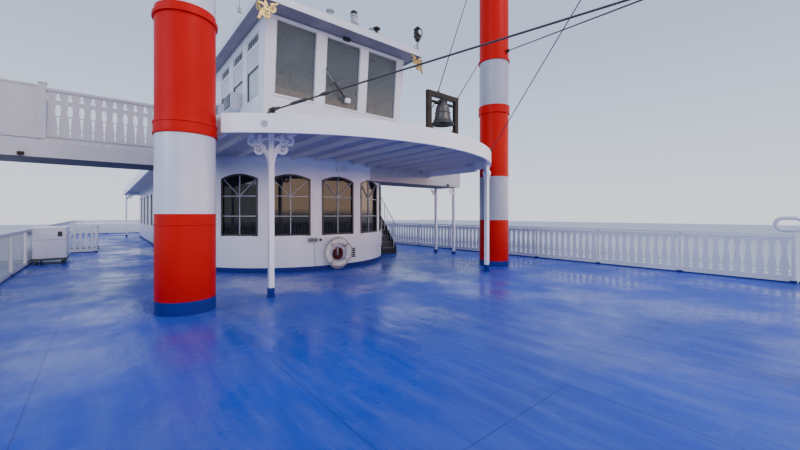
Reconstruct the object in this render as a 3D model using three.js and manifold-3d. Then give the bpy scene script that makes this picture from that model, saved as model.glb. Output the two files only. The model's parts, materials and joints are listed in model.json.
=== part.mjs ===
// Sternwheel paddle boat: a 1:2 scale model of a 48 m excursion boat with three decks.
// Every size below is the real boat's, in millimetres, and the whole group is scaled at the end.
// +X points to the bow, +Y to port and +Z up. The origin lies under the middle of the flat bottom.

import * as THREE from 'three';
import { mergeVertices } from 'three/addons/utils/BufferGeometryUtils.js';
import Module from 'manifold-3d';

const wasm = await Module();
wasm.setup();

// Driving dimensions
const MODEL_SCALE = 0.5;
const SEAT = 0.6;               // gap kept between pieces that rest on each other
const RUNNING = 10;             // gap kept around pieces that move

const BOW_X = 24000;
const TRANSOM_X = -18500;
const STACK_X = 11800;
const GUARD_HALF = 7000;        // half breadth over the main deck's guards

const DECK_THICK = 150;
const MAIN_DECK_Z = 2400;       // tops of the three decks
const SECOND_DECK_Z = 5250;
const THIRD_DECK_Z = 8100;

const WALL = 100;
const RAIL_HEIGHT = 1070;
const RAIL_INSET = 150;
const BAY = 2000;               // spacing of the railing posts

const BLUE_DECK = new THREE.MeshStandardMaterial({ color: 0x2f4fb0, roughness: 0.25, metalness: 0 });
const WHITE = new THREE.MeshStandardMaterial({ color: 0xe6e7ea, roughness: 0.45, metalness: 0 });
const HULL_BLUE = new THREE.MeshStandardMaterial({ color: 0x1b2a6b, roughness: 0.5, metalness: 0 });
const RED = new THREE.MeshStandardMaterial({ color: 0xc81e14, roughness: 0.4, metalness: 0.1 });
const BLACK = new THREE.MeshStandardMaterial({ color: 0x1c1a19, roughness: 0.5, metalness: 0.3 });
const BRONZE = new THREE.MeshStandardMaterial({ color: 0x5d5a48, roughness: 0.45, metalness: 0.9 });
const STEEL = new THREE.MeshStandardMaterial({ color: 0x8d9092, roughness: 0.4, metalness: 0.9 });
const OAK = new THREE.MeshStandardMaterial({ color: 0x7a4a26, roughness: 0.55, metalness: 0 });
const ENGINE_GREEN = new THREE.MeshStandardMaterial({ color: 0x4f6653, roughness: 0.6, metalness: 0.4 });

// Solids: closed geometries become Manifold solids, which are joined and cut

function signedVolume(position, index) {
  const a = new THREE.Vector3();
  const b = new THREE.Vector3();
  const c = new THREE.Vector3();
  let volume = 0;
  for (let i = 0; i < index.length; i += 3) {
    a.fromBufferAttribute(position, index[i]);
    b.fromBufferAttribute(position, index[i + 1]);
    c.fromBufferAttribute(position, index[i + 2]);
    volume += a.dot(b.cross(c)) / 6;
  }
  return volume;
}

function solid(source) {
  const geometry = source.clone();
  geometry.deleteAttribute('normal');
  geometry.deleteAttribute('uv');
  const merged = mergeVertices(geometry, 1e-3);
  const position = merged.getAttribute('position');
  const corners = merged.getIndex().array;
  const triangles = [];
  for (let i = 0; i < corners.length; i += 3) {
    const [a, b, c] = [corners[i], corners[i + 1], corners[i + 2]];
    if (a !== b && b !== c && c !== a) triangles.push(a, b, c);
  }
  if (signedVolume(position, triangles) < 0) triangles.reverse();
  const mesh = new wasm.Mesh({
    numProp: 3,
    vertProperties: new Float32Array(position.array),
    triVerts: new Uint32Array(triangles),
  });
  return new wasm.Manifold(mesh);
}

function geometryOf(manifold) {
  const mesh = manifold.getMesh();
  const geometry = new THREE.BufferGeometry();
  geometry.setAttribute('position', new THREE.BufferAttribute(mesh.vertProperties, 3));
  geometry.setIndex(new THREE.BufferAttribute(mesh.triVerts, 1));
  geometry.computeVertexNormals();
  return geometry;
}

const union = (solids) => solids.reduce((whole, next) => whole.add(next));

function box(x0, x1, y0, y1, z0, z1) {
  const geometry = new THREE.BoxGeometry(x1 - x0, y1 - y0, z1 - z0);
  geometry.translate((x0 + x1) / 2, (y0 + y1) / 2, (z0 + z1) / 2);
  return solid(geometry);
}

function outline(points) {
  return new THREE.Shape(points.map(([x, y]) => new THREE.Vector2(x, y)));
}

const rectangle = (x0, x1, y0, y1) => outline([[x0, y0], [x1, y0], [x1, y1], [x0, y1]]);

const ARCH_RISE = 130;          // height of the flat arch over a cabin window

function archedHole(middle, width, sill, crown) {
  const half = width / 2;
  const radius = (half ** 2 + ARCH_RISE ** 2) / (2 * ARCH_RISE);
  const spread = Math.asin(half / radius);
  const hole = new THREE.Path();
  hole.moveTo(middle - half, sill);
  hole.lineTo(middle + half, sill);
  hole.absarc(middle, crown - radius, radius, Math.PI / 2 - spread, Math.PI / 2 + spread, false);
  return hole;
}

// A shape drawn out to a depth, with its holes cut through it, and moved to its place
function drawnOut(shape, depth, curveSegments, place) {
  const piece = (path, from, length) => {
    const geometry = new THREE.ExtrudeGeometry(new THREE.Shape(path.getPoints(curveSegments)),
      { depth: length, bevelEnabled: false });
    geometry.translate(0, 0, from);
    place(geometry);
    return solid(geometry);
  };
  const whole = piece(shape, 0, depth);
  if (shape.holes.length === 0) return whole;
  return whole.subtract(union(shape.holes.map((hole) => piece(hole, -1, depth + 2))));
}

// A flat plan shape as a plate between two heights
function plate(shape, z0, z1, curveSegments = 8) {
  return drawnOut(shape, z1 - z0, curveSegments, (geometry) => geometry.translate(0, 0, z0));
}

// An elevation, drawn along the line from start to end, stood up on that line with its given thickness
function standing(shape, thickness, start, end, z) {
  return drawnOut(shape, thickness, 4, (geometry) => {
    geometry.translate(0, 0, -thickness / 2);
    geometry.rotateX(Math.PI / 2);
    geometry.rotateZ(Math.atan2(end[1] - start[1], end[0] - start[0]));
    geometry.translate(start[0], start[1], z);
  });
}

// A round solid on a vertical axis, from a profile of [radius, height] points
function turned(profile, x, y, sides) {
  const points = profile.map(([radius, z]) => new THREE.Vector2(radius, z));
  const geometry = new THREE.LatheGeometry(points, sides);
  geometry.rotateX(Math.PI / 2);
  geometry.translate(x, y, 0);
  return solid(geometry);
}

// A round bar from one point to another
function bar(from, to, radius, sides = 8) {
  const start = new THREE.Vector3(...from);
  const way = new THREE.Vector3(...to).sub(start);
  const geometry = new THREE.CylinderGeometry(radius, radius, way.length(), sides);
  geometry.translate(0, way.length() / 2, 0);
  geometry.applyQuaternion(new THREE.Quaternion().setFromUnitVectors(
    new THREE.Vector3(0, 1, 0), way.clone().normalize()));
  geometry.translate(start.x, start.y, start.z);
  return solid(geometry);
}

const boat = new THREE.Group();

function addPart(name, manifold, material) {
  const mesh = new THREE.Mesh(geometryOf(manifold), material);
  mesh.name = name;
  boat.add(mesh);
}

const SIDES = [['port', 1], ['starboard', -1]];

// Plan of the decks

const BOW_START_X = 16000;      // the guards begin to close in here
const BOW_LENGTH = 8400;
const BOW_FULLNESS = 2.2;

function guardHalf(x) {
  if (x <= BOW_START_X) return GUARD_HALF;
  return GUARD_HALF * (1 - ((x - BOW_START_X) / BOW_LENGTH) ** BOW_FULLNESS);
}

const BOW_STATIONS = [16000, 17500, 19000, 20300, 21400, 22300, 23000, 23600, 24000];

function mirrored(portPoints) {
  const starboard = portPoints.filter(([, y]) => y !== 0).reverse().map(([x, y]) => [x, -y]);
  return [...starboard, ...portPoints].reverse();
}

function mainDeckOutline() {
  const port = BOW_STATIONS.map((x) => [x, guardHalf(x)]).reverse();
  port.push([TRANSOM_X + 1000, GUARD_HALF], [TRANSOM_X, GUARD_HALF - 800]);
  return mirrored(port);
}

// The upper decks: straight sides, a shoulder, and a rounded front between two corners
const SHOULDER_X = 17780;
const CORNER_X = 18150;
const CORNER_HALF = 6550;
const FRONT_X = 20100;
const THIRD_HALF = 6800;
const SECOND_STEP = 180;        // the second deck is this much wider all round

function frontArc(front, cornerX, cornerHalf, pieces) {
  const rise = front - cornerX;
  const radius = (cornerHalf ** 2 + rise ** 2) / (2 * rise);
  const half = Math.asin(cornerHalf / radius);
  const points = [];
  for (let i = 0; i <= pieces; i += 1) {
    const angle = half * (1 - (2 * i) / pieces);
    points.push([front - radius + radius * Math.cos(angle), radius * Math.sin(angle)]);
  }
  return points;
}

// Rail or edge line of an upper deck, from the port side's aft end round the front to starboard
function upperEdge(grow) {
  const front = frontArc(FRONT_X + grow, CORNER_X + grow * 0.6, CORNER_HALF + grow * 0.85, 6);
  const side = THIRD_HALF + grow;
  return {
    side,
    aft: TRANSOM_X - grow,
    front,
    whole: [[TRANSOM_X, side], [SHOULDER_X, side], ...front, [SHOULDER_X, -side], [TRANSOM_X, -side]],
  };
}

// Hull: flat bottom, rounded-off bilge, raked bow and stern

// x, how far inside the guards the deck edge, the bilge and the flat bottom lie, bottom and bilge heights
const HULL_SECTIONS = [
  { x: -18500, deck: 1000, bilge: 1100, flat: 1300, bottom: 1150, turn: 1350 },
  { x: -13500, deck: 500, bilge: 550, flat: 850, bottom: 0, turn: 300 },
  { x: -6000, deck: 400, bilge: 400, flat: 700, bottom: 0, turn: 300 },
  { x: 11000, deck: 400, bilge: 400, flat: 700, bottom: 0, turn: 300 },
  { x: 14500, deck: 400, bilge: 560, flat: 1000, bottom: 0, turn: 320 },
  { x: 17500, deck: 400, bilge: 950, flat: 1600, bottom: 80, turn: 520 },
  { x: 20200, deck: 400, bilge: 1250, flat: 2000, bottom: 420, turn: 950 },
  { x: 22200, deck: 350, bilge: 1200, flat: 1700, bottom: 1050, turn: 1500 },
  { x: 23600, deck: 300, bilge: 650, flat: 760, bottom: 1800, turn: 1950 },
];
const HULL_TOP = MAIN_DECK_Z - DECK_THICK - SEAT;

function loftedHull() {
  const rings = HULL_SECTIONS.map((section) => {
    const guard = guardHalf(section.x);
    const half = [guard - section.deck, guard - section.bilge, guard - section.flat];
    const height = [HULL_TOP, section.turn, section.bottom];
    const port = half.map((y, i) => [section.x, y, height[i]]);
    const starboard = half.map((y, i) => [section.x, -y, height[i]]).reverse();
    return [...port, ...starboard];
  });
  const count = rings[0].length;
  const triangles = [];
  rings.forEach((ring, i) => {
    if (i === 0) return;
    for (let k = 0; k < count; k += 1) {
      const next = (k + 1) % count;
      triangles.push([(i - 1) * count + k, (i - 1) * count + next, i * count + k]);
      triangles.push([(i - 1) * count + next, i * count + next, i * count + k]);
    }
  });
  const last = (rings.length - 1) * count;
  for (let k = 1; k < count - 1; k += 1) {
    triangles.push([0, k + 1, k]);
    triangles.push([last, last + k, last + k + 1]);
  }
  const geometry = new THREE.BufferGeometry();
  geometry.setAttribute('position', new THREE.Float32BufferAttribute(rings.flat(2), 3));
  geometry.setIndex(triangles.flat());
  return solid(geometry);
}

const RUDDER_X = -17300;
const RUDDER_Y = 2300;
const RUDDER_BOSS_Z = 740;

function makeHull() {
  const bosses = SIDES.map(([, side]) => turned(
    [[0, RUDDER_BOSS_Z], [130, RUDDER_BOSS_Z], [130, 1400], [0, 1400]], RUDDER_X, side * RUDDER_Y, 12));
  addPart('hull', union([loftedHull(), ...bosses]), HULL_BLUE);
}

// Stair places: x of foot and head, the side's low and high edge, bottom and top heights
const STAIRS = {
  stair_to_second_deck: { foot: 19200, head: 15200, low: -3100, high: -2100,
    from: MAIN_DECK_Z, to: SECOND_DECK_Z },
  stair_to_third_deck: { foot: 200, head: -3600, low: -6100, high: -5150,
    from: SECOND_DECK_Z, to: THIRD_DECK_Z },
};
const WELL_MARGIN = 60;
const WELL_FROM_FOOT = 700;     // the first steps lie under the deck, outside the well

function wellHole(stair) {
  const start = stair.foot + Math.sign(stair.head - stair.foot) * WELL_FROM_FOOT;
  const aft = Math.min(stair.head, start);
  const fore = Math.max(stair.head, start);
  return rectangle(aft - WELL_MARGIN, fore + WELL_MARGIN, stair.low - WELL_MARGIN, stair.high + WELL_MARGIN);
}

// Low base on the foredeck for a capstan
const CAPSTAN_BASE = { x: 21300, half: 600, height: 60 };

function makeDecks() {
  const { x, half, height } = CAPSTAN_BASE;
  const base = box(x - half, x + half, -half, half, MAIN_DECK_Z - 20, MAIN_DECK_Z + height);
  const mainDeck = plate(outline(mainDeckOutline()), MAIN_DECK_Z - DECK_THICK, MAIN_DECK_Z);
  addPart('main_deck', mainDeck.add(base), BLUE_DECK);
  const uppers = [
    ['second_deck', SECOND_DECK_Z, SECOND_STEP, STAIRS.stair_to_second_deck],
    ['third_deck', THIRD_DECK_Z, 0, STAIRS.stair_to_third_deck],
  ];
  uppers.forEach(([name, top, grow, stair]) => {
    const shape = outline(upperEdge(grow).whole);
    shape.holes.push(wellHole(stair));
    addPart(name, plate(shape, top - DECK_THICK, top), BLUE_DECK);
  });
}

// A flight of steps: a sawtooth slab between its foot and its head
const STEPS = 14;
const FLIGHT_DEPTH = 330;
const HANDRAIL = { height: 900, inset: 45, radius: 26, post: 20, treads: [0, 3, 6, 9, 12] };

function flight(stair) {
  const rise = (stair.to - stair.from) / STEPS;
  const going = (stair.head - stair.foot) / (STEPS - 1);
  const points = [[stair.foot, stair.from + SEAT]];
  for (let i = 0; i < STEPS - 1; i += 1) {
    points.push([stair.foot + i * going, stair.from + (i + 1) * rise]);
    points.push([stair.foot + (i + 1) * going, stair.from + (i + 1) * rise]);
  }
  points.push([stair.head, stair.to - rise - FLIGHT_DEPTH * 0.5]);
  points.push([stair.foot + going * 1.2, stair.from + SEAT]);
  const steps = standing(outline(points), stair.high - stair.low,
    [0, (stair.high + stair.low) / 2], [1, (stair.high + stair.low) / 2], 0);
  const rails = [stair.low + HANDRAIL.inset, stair.high - HANDRAIL.inset].flatMap((y) => {
    const start = [stair.foot, y, stair.from + rise + HANDRAIL.height];
    const end = [stair.head, y, stair.to + HANDRAIL.height];
    const posts = HANDRAIL.treads.map((i) => {
      const x = stair.foot + (i + 0.5) * going;
      const tread = stair.from + (i + 1) * rise;
      return box(x - HANDRAIL.post, x + HANDRAIL.post, y - HANDRAIL.post, y + HANDRAIL.post,
        tread - 20, tread + HANDRAIL.height + rise / 2);
    });
    return [bar(start, end, HANDRAIL.radius), ...posts];
  });
  return union([steps, ...rails]);
}

// Houses on the main and second decks: four flat walls with windows, and a door in the front wall

const DOOR_WIDTH = 850;
const DOOR_HEIGHT = 2050;
const DOOR_THICK = 50;
const SILL_STEP = 60;           // height of a door's threshold above the deck
const HINGE_RADIUS = 14;
const HINGE_LENGTH = 120;
const HINGE_X = -RUNNING - 12;  // the hinge's axis, from the door's edge and from the wall's face
const HINGE_Y = -HINGE_RADIUS - SEAT;

// x of the front and aft faces, half breadth, deck, window pitch, width, sill and head above the deck
const HOUSES = [
  { name: 'main_house', front: 12800, aft: -15500, half: 5400, floor: MAIN_DECK_Z, pitch: 2700,
    width: 1000, sill: 1050, head: 2050 },
  { name: 'second_house', front: 13300, aft: -14000, half: 4500, floor: SECOND_DECK_Z, pitch: 2250,
    width: 1100, sill: 800, head: 2150 },
];
const HOUSE_HEIGHT = SECOND_DECK_Z - DECK_THICK - MAIN_DECK_Z;

// A wall's elevation with its windows, and with a doorway where door gives its middle
function wallShape(length, height, windows, door) {
  const wall = rectangle(0, length, SEAT, height - SEAT);
  windows.forEach(({ middle, width, sill, head, arched }) => {
    wall.holes.push(arched ? archedHole(middle, width, sill, head)
      : rectangle(middle - width / 2, middle + width / 2, sill, head));
  });
  if (door !== undefined) {
    const half = DOOR_WIDTH / 2 + RUNNING;
    wall.holes.push(rectangle(door - half, door + half, SILL_STEP, SILL_STEP + DOOR_HEIGHT + 2 * RUNNING));
  }
  return wall;
}

function rowOfWindows(house, length, margin, skip) {
  const count = Math.floor((length - 2 * margin) / house.pitch);
  const windows = [];
  for (let i = 0; i <= count; i += 1) {
    const middle = length / 2 + (i - count / 2) * house.pitch;
    if (!skip || Math.abs(middle - skip) > 1000) windows.push({ ...house, middle });
  }
  return windows;
}

function makeHouses() {
  HOUSES.forEach((house) => {
    const { name, front, aft, half, floor } = house;
    const length = front - aft - 2 * (WALL + SEAT);
    SIDES.forEach(([side, sign]) => {
      const y = sign * (half - WALL / 2);
      const shape = wallShape(length, HOUSE_HEIGHT, rowOfWindows(house, length, 1200));
      addPart(`${name}_${side}`, standing(shape, WALL,
        [aft + WALL + SEAT, y], [front, y], floor), WHITE);
    });
    const across = rowOfWindows(house, 2 * half, 1000, half);
    const frontWall = wallShape(2 * half, HOUSE_HEIGHT, across, half);
    addPart(`${name}_front`, standing(frontWall, WALL,
      [front - WALL / 2, -half], [front - WALL / 2, half], floor), WHITE);
    const aftWall = wallShape(2 * half, HOUSE_HEIGHT, across);
    addPart(`${name}_aft`, standing(aftWall, WALL,
      [aft + WALL / 2, -half], [aft + WALL / 2, half], floor), WHITE);
  });
}

// A door in its closed place. Its hinge barrels lie on the wall's outer face, beside the doorway.
// Drawn with the outer face at y = 0 looking along -Y, hinged at x = 0, and then turned into its wall.
function doorSolid(turn, x, y, floor) {
  const low = SILL_STEP + RUNNING;
  const leaf = rectangle(0, DOOR_WIDTH, low, low + DOOR_HEIGHT);
  leaf.holes.push(rectangle(180, DOOR_WIDTH - 180, low + 1050, low + DOOR_HEIGHT - 200));
  const pieces = [standing(leaf, DOOR_THICK, [0, DOOR_THICK / 2], [1, DOOR_THICK / 2], 0)];
  [300, DOOR_HEIGHT - 300].forEach((height) => {
    const base = low + height - HINGE_LENGTH / 2;
    const top = base + HINGE_LENGTH;
    const barrel = [[0, base], [HINGE_RADIUS, base], [HINGE_RADIUS, top], [0, top]];
    pieces.push(turned(barrel, HINGE_X, HINGE_Y, 8));
    pieces.push(box(HINGE_X, 90, HINGE_Y - 4, HINGE_Y + 6, base, top));
    pieces.push(box(4, 90, HINGE_Y, 5, base, top));
  });
  const geometry = geometryOf(union(pieces));
  geometry.rotateZ(turn);
  geometry.translate(x, y, floor);
  return solid(geometry);
}

const STACK = { port: 4050, starboard: 3930 };   // from the centreline, on each side
const stackY = (side) => side * (side > 0 ? STACK.port : STACK.starboard);

// Cabin on the third deck: half-round front wall, straight sides, and a roof with a wide overhang

const CABIN = { centre: 6450, radius: 3080, aft: -11200 };
const ROOF_TOP = THIRD_DECK_Z + 3110;
const FASCIA = 310;
const ROOF_PLATE = 100;
const ROOF_UNDER = ROOF_TOP - ROOF_PLATE;
const ROOF = { centre: 8500, radius: 4980, half: 3900, aft: -12000 };
const ROOF_NOTCH = { aft: 4840, fore: 7480, inner: 3150 };   // in the port eave, over the stair to the roof
const CABIN_WALL_HEIGHT = ROOF_UNDER - THIRD_DECK_Z;

const FRONT_WINDOW = { width: 1000, sill: 940, crown: 2540 };
const FRONT_WINDOW_PITCH = THREE.MathUtils.degToRad(24.5);
const FRONT_WINDOW_TURN = THREE.MathUtils.degToRad(1.9);     // the row of windows sits a little to port
const FRONT_WINDOWS = [-3, -2, -1, 0, 1, 2, 3];

function halfRing(centre, outer, inner) {
  const shape = new THREE.Shape();
  shape.absarc(centre, 0, outer, -Math.PI / 2, Math.PI / 2, false);
  shape.absarc(centre, 0, inner, Math.PI / 2, -Math.PI / 2, true);
  return shape;
}

function makeCabinFront() {
  const ring = plate(halfRing(CABIN.centre, CABIN.radius, CABIN.radius - WALL),
    THIRD_DECK_Z + SEAT, ROOF_UNDER - SEAT, 16);
  const cuts = FRONT_WINDOWS.map((place) => {
    const angle = place * FRONT_WINDOW_PITCH + FRONT_WINDOW_TURN;
    const reach = (radius) => [CABIN.centre + radius * Math.cos(angle), radius * Math.sin(angle)];
    const half = FRONT_WINDOW.width / 2;
    const shape = new THREE.Shape(
      archedHole(half, FRONT_WINDOW.width, FRONT_WINDOW.sill, FRONT_WINDOW.crown).getPoints(4));
    const [x, y] = reach(CABIN.radius);
    const across = [Math.sin(angle), -Math.cos(angle)];
    const start = [x - across[0] * half, y - across[1] * half];
    return standing(shape, 800, start, [x, y], THIRD_DECK_Z);
  });
  addPart('cabin_front_wall', ring.subtract(union(cuts)), WHITE);
}

const CABIN_DOOR_X = 2600;
const CABIN_WINDOWS = { pitch: 2000, width: 1000, sill: 940, head: 2540, arched: true };

function makeCabinWalls() {
  const length = CABIN.centre - SEAT - CABIN.aft - WALL - SEAT;
  const start = CABIN.aft + WALL + SEAT;
  const doorAt = CABIN_DOOR_X - start;
  const windows = rowOfWindows(CABIN_WINDOWS, length, 900, doorAt);
  SIDES.forEach(([side, sign]) => {
    const y = sign * (CABIN.radius - WALL / 2);
    addPart(`cabin_wall_${side}`, standing(wallShape(length, CABIN_WALL_HEIGHT, windows, doorAt), WALL,
      [start, y], [0, y], THIRD_DECK_Z), WHITE);
  });
  const width = 2 * CABIN.radius;
  const aftWindows = rowOfWindows(CABIN_WINDOWS, width, 900);
  addPart('cabin_wall_aft', standing(wallShape(width, CABIN_WALL_HEIGHT, aftWindows), WALL,
    [CABIN.aft + WALL / 2, -CABIN.radius], [CABIN.aft + WALL / 2, 0], THIRD_DECK_Z), WHITE);
}

function roofShape(shrink) {
  const { centre, radius, half, aft } = ROOF;
  const spread = Math.asin((half - shrink) / (radius - shrink));
  const shape = new THREE.Shape();
  shape.absarc(centre, 0, radius - shrink, -spread, spread, false);
  shape.lineTo(ROOF_NOTCH.fore + shrink, half - shrink);
  shape.lineTo(ROOF_NOTCH.fore + shrink, ROOF_NOTCH.inner - shrink);
  shape.lineTo(ROOF_NOTCH.aft - shrink, ROOF_NOTCH.inner - shrink);
  shape.lineTo(ROOF_NOTCH.aft - shrink, half - shrink);
  shape.lineTo(aft + shrink, half - shrink);
  shape.lineTo(aft + shrink, shrink - half);
  return shape;
}

const FASCIA_THICK = 60;
const JOIST = { pitch: 800, width: 60, depth: 150 };
const FRONT_POSTS = [{ x: 12420, y: 2880 }, { x: 11790, y: -2590 }];
const FRONT_POST_WIDTH = 90;
const STACK_BITE = 520;         // radius of the notch in the roof's edge around each stack
const EAVE_POST = { x: -11750, y: 3750 };   // one post carries each aft corner of the roof

function roofPost(x, y, width) {
  const half = width / 2;
  return box(x - half, x + half, y - half, y + half, THIRD_DECK_Z + SEAT, ROOF_UNDER + 20);
}

// Cut-out scroll bracket, drawn as a quarter ring and a leaf in the corner between post and roof
const BRACKET_REACH = 430;

function bracket(x, y, direction) {
  const shape = new THREE.Shape();
  shape.moveTo(0, 0);
  shape.lineTo(BRACKET_REACH, 0);
  shape.quadraticCurveTo(BRACKET_REACH * 0.25, -BRACKET_REACH * 0.25, 0, -BRACKET_REACH);
  const [dx, dy] = direction;
  return standing(shape, 30, [x, y], [x + dx, y + dy], ROOF_UNDER + 5);
}

// Plan of the cabin with the gap that its neighbours keep from it
function aroundCabin() {
  const shape = new THREE.Shape();
  shape.absarc(CABIN.centre, 0, CABIN.radius + SEAT, -Math.PI / 2, Math.PI / 2, false);
  shape.lineTo(CABIN.aft, CABIN.radius + SEAT);
  shape.lineTo(CABIN.aft, -CABIN.radius - SEAT);
  return shape;
}

function makeRoof() {
  const bites = (grow) => {
    const radius = STACK_BITE + grow;
    const [low, high] = [THIRD_DECK_Z, ROOF_TOP + 100];
    const profile = [[0, low], [radius, low], [radius, high], [0, high]];
    return union(SIDES.map(([, side]) => turned(profile, STACK_X, stackY(side), 20)));
  };
  const flat = plate(roofShape(0), ROOF_UNDER, ROOF_TOP, 16);
  const inside = plate(roofShape(FASCIA_THICK), ROOF_TOP - FASCIA - 10, ROOF_TOP, 16);
  const rim = plate(roofShape(0), ROOF_TOP - FASCIA, ROOF_UNDER + 20, 16)
    .subtract(inside.subtract(bites(FASCIA_THICK)));
  const joists = [];
  for (let k = -4; k <= 4; k += 1) {
    const y = k * JOIST.pitch;
    const reach = Math.sqrt((ROOF.radius - 30) ** 2 - y * y);
    joists.push(box(CABIN.centre, ROOF.centre + reach - 20, y - JOIST.width / 2, y + JOIST.width / 2,
      ROOF_UNDER - JOIST.depth, ROOF_UNDER + 20));
  }
  const wingGap = SIDES.map(([, side]) => box(WING.aft - 80, WING.fore + 80,
    Math.min(side * CABIN.radius, side * 5200), Math.max(side * CABIN.radius, side * 5200),
    THIRD_DECK_Z, ROOF_TOP - FASCIA));
  const beams = union(joists).intersect(plate(roofShape(FASCIA_THICK / 2), THIRD_DECK_Z, ROOF_TOP, 16))
    .subtract(plate(aroundCabin(), THIRD_DECK_Z, ROOF_UNDER, 32))
    .subtract(union(wingGap));
  const frontPosts = FRONT_POSTS.flatMap(({ x, y }) => {
    const reach = Math.hypot(x - ROOF.centre, y);
    const along = [-y / reach, (x - ROOF.centre) / reach];
    const back = along.map((value) => -value);
    return [roofPost(x, y, FRONT_POST_WIDTH), bracket(x, y, along), bracket(x, y, back)];
  });
  const eavePosts = [1, -1].map((side) => roofPost(EAVE_POST.x, side * EAVE_POST.y, 90));
  const whole = union([flat, rim, beams, ...frontPosts, ...eavePosts]);
  addPart('cabin_roof', whole.subtract(bites(0)), WHITE);
}

// Bridge wings: a walkway each side at roof level, with a balustrade and a solid box at its end

const WING = { aft: 8100, fore: 9200, under: THIRD_DECK_Z + 2520, walk: THIRD_DECK_Z + 2860,
  top: THIRD_DECK_Z + 3790 };

// distances from the centreline: where the plating and the rails start, the box, the end and the posts
const WING_SPANS = {
  port: { root: 1200, rail: 1950, box: 4570, end: 5520, post: 5250 },
  starboard: { root: CABIN.radius + 20, rail: 2210, box: 5800, end: 6750, post: 6500 },
};

// The fore edge has a sawn balustrade, the aft edge two rails between slim posts
function balustrade(inner, outer) {
  const shape = rectangle(inner, outer, WING.walk, WING.top);
  const pitch = 590;
  const count = Math.round((outer - inner - 200) / pitch);
  for (let i = 0; i < count; i += 1) {
    const from = inner + 100 + i * pitch;
    shape.holes.push(rectangle(from, from + 260, ROOF_TOP + 100, WING.top - 100));
  }
  return shape;
}

function openRail(inner, outer) {
  const shape = rectangle(inner, outer, WING.walk, WING.top);
  const bay = (outer - inner) / Math.round((outer - inner) / 1200);
  const middle = WING.walk + 560;
  for (let from = inner; from < outer - 1; from += bay) {
    shape.holes.push(rectangle(from + 30, from + bay - 30, WING.walk + 60, middle - 20));
    shape.holes.push(rectangle(from + 30, from + bay - 30, middle + 20, WING.top - 50));
  }
  return shape;
}

function wingRail(x, side, shape) {
  const rail = standing(shape, 50, [x, 0], [x, side], 0);
  const reach = side * (ROOF.half + 5);
  const roofEdge = box(x - 100, x + 100, Math.min(0, reach), Math.max(0, reach),
    WING.walk - 10, ROOF_TOP + SEAT);
  return rail.subtract(roofEdge);
}

function makeWings() {
  SIDES.forEach(([name, side]) => {
    const span = (from, to) => [Math.min(side * from, side * to), Math.max(side * from, side * to)];
    const { root, rail, box: boxFrom, end, post } = WING_SPANS[name];
    const [innerLow, innerHigh] = span(root, end);
    const [outerLow, outerHigh] = span(ROOF.half + SEAT, end);
    const [boxLow, boxHigh] = span(boxFrom, end);
    const [endLow, endHigh] = span(end - 50, end);
    const under = box(WING.aft, WING.fore, innerLow, innerHigh, WING.under, ROOF_TOP - FASCIA - SEAT);
    const pieces = [
      under.subtract(plate(aroundCabin(), THIRD_DECK_Z, ROOF_UNDER, 32)),
      box(WING.aft, WING.fore, outerLow, outerHigh, WING.under, WING.walk),
      box(WING.aft, WING.aft + 50, boxLow, boxHigh, WING.under, WING.top),
      box(WING.fore - 50, WING.fore, boxLow, boxHigh, WING.under, WING.top),
      box(WING.aft, WING.fore, endLow, endHigh, WING.under, WING.top),
      wingRail(WING.aft + 25, side, openRail(rail, boxFrom)),
      wingRail(WING.fore - 25, side, balustrade(rail, boxFrom)),
    ];
    [WING.aft + 80, WING.fore - 80].forEach((x) => {
      const y = side * post;
      pieces.push(box(x - 45, x + 45, y - 45, y + 45, THIRD_DECK_Z + SEAT, WING.under + 20));
    });
    addPart(`bridge_wing_${name}`, union(pieces), WHITE);
  });
}

// Pilothouse on the roof: a front wall that leans forward, two sides and an aft wall with the door

const PILOT = { front: 9940, lean: 279, aft: 5400, middle: -130, half: 2000, wall: 80 };
const PILOT_ROOF_UNDER = THIRD_DECK_Z + 6020;
const PILOT_ROOF_THICK = 160;
const PILOT_OVERHANG = { fore: 470, side: 290, aft: 550 };
const PILOT_HEIGHT = PILOT_ROOF_UNDER - ROOF_TOP;
const PILOT_FRONT_WINDOWS = [-1390, -115, 1135];
const PILOT_WINDOW = { width: 1000, sill: 1170, head: 2840 };
const PILOT_SIDE_WINDOWS = [6240, 7540, 8800];      // aft edge of each
const PILOT_SIDE = { width: 900, sill: 1190, bar: 2390, head: 2710 };
const PILOT_DOOR_Y = -200;

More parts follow.
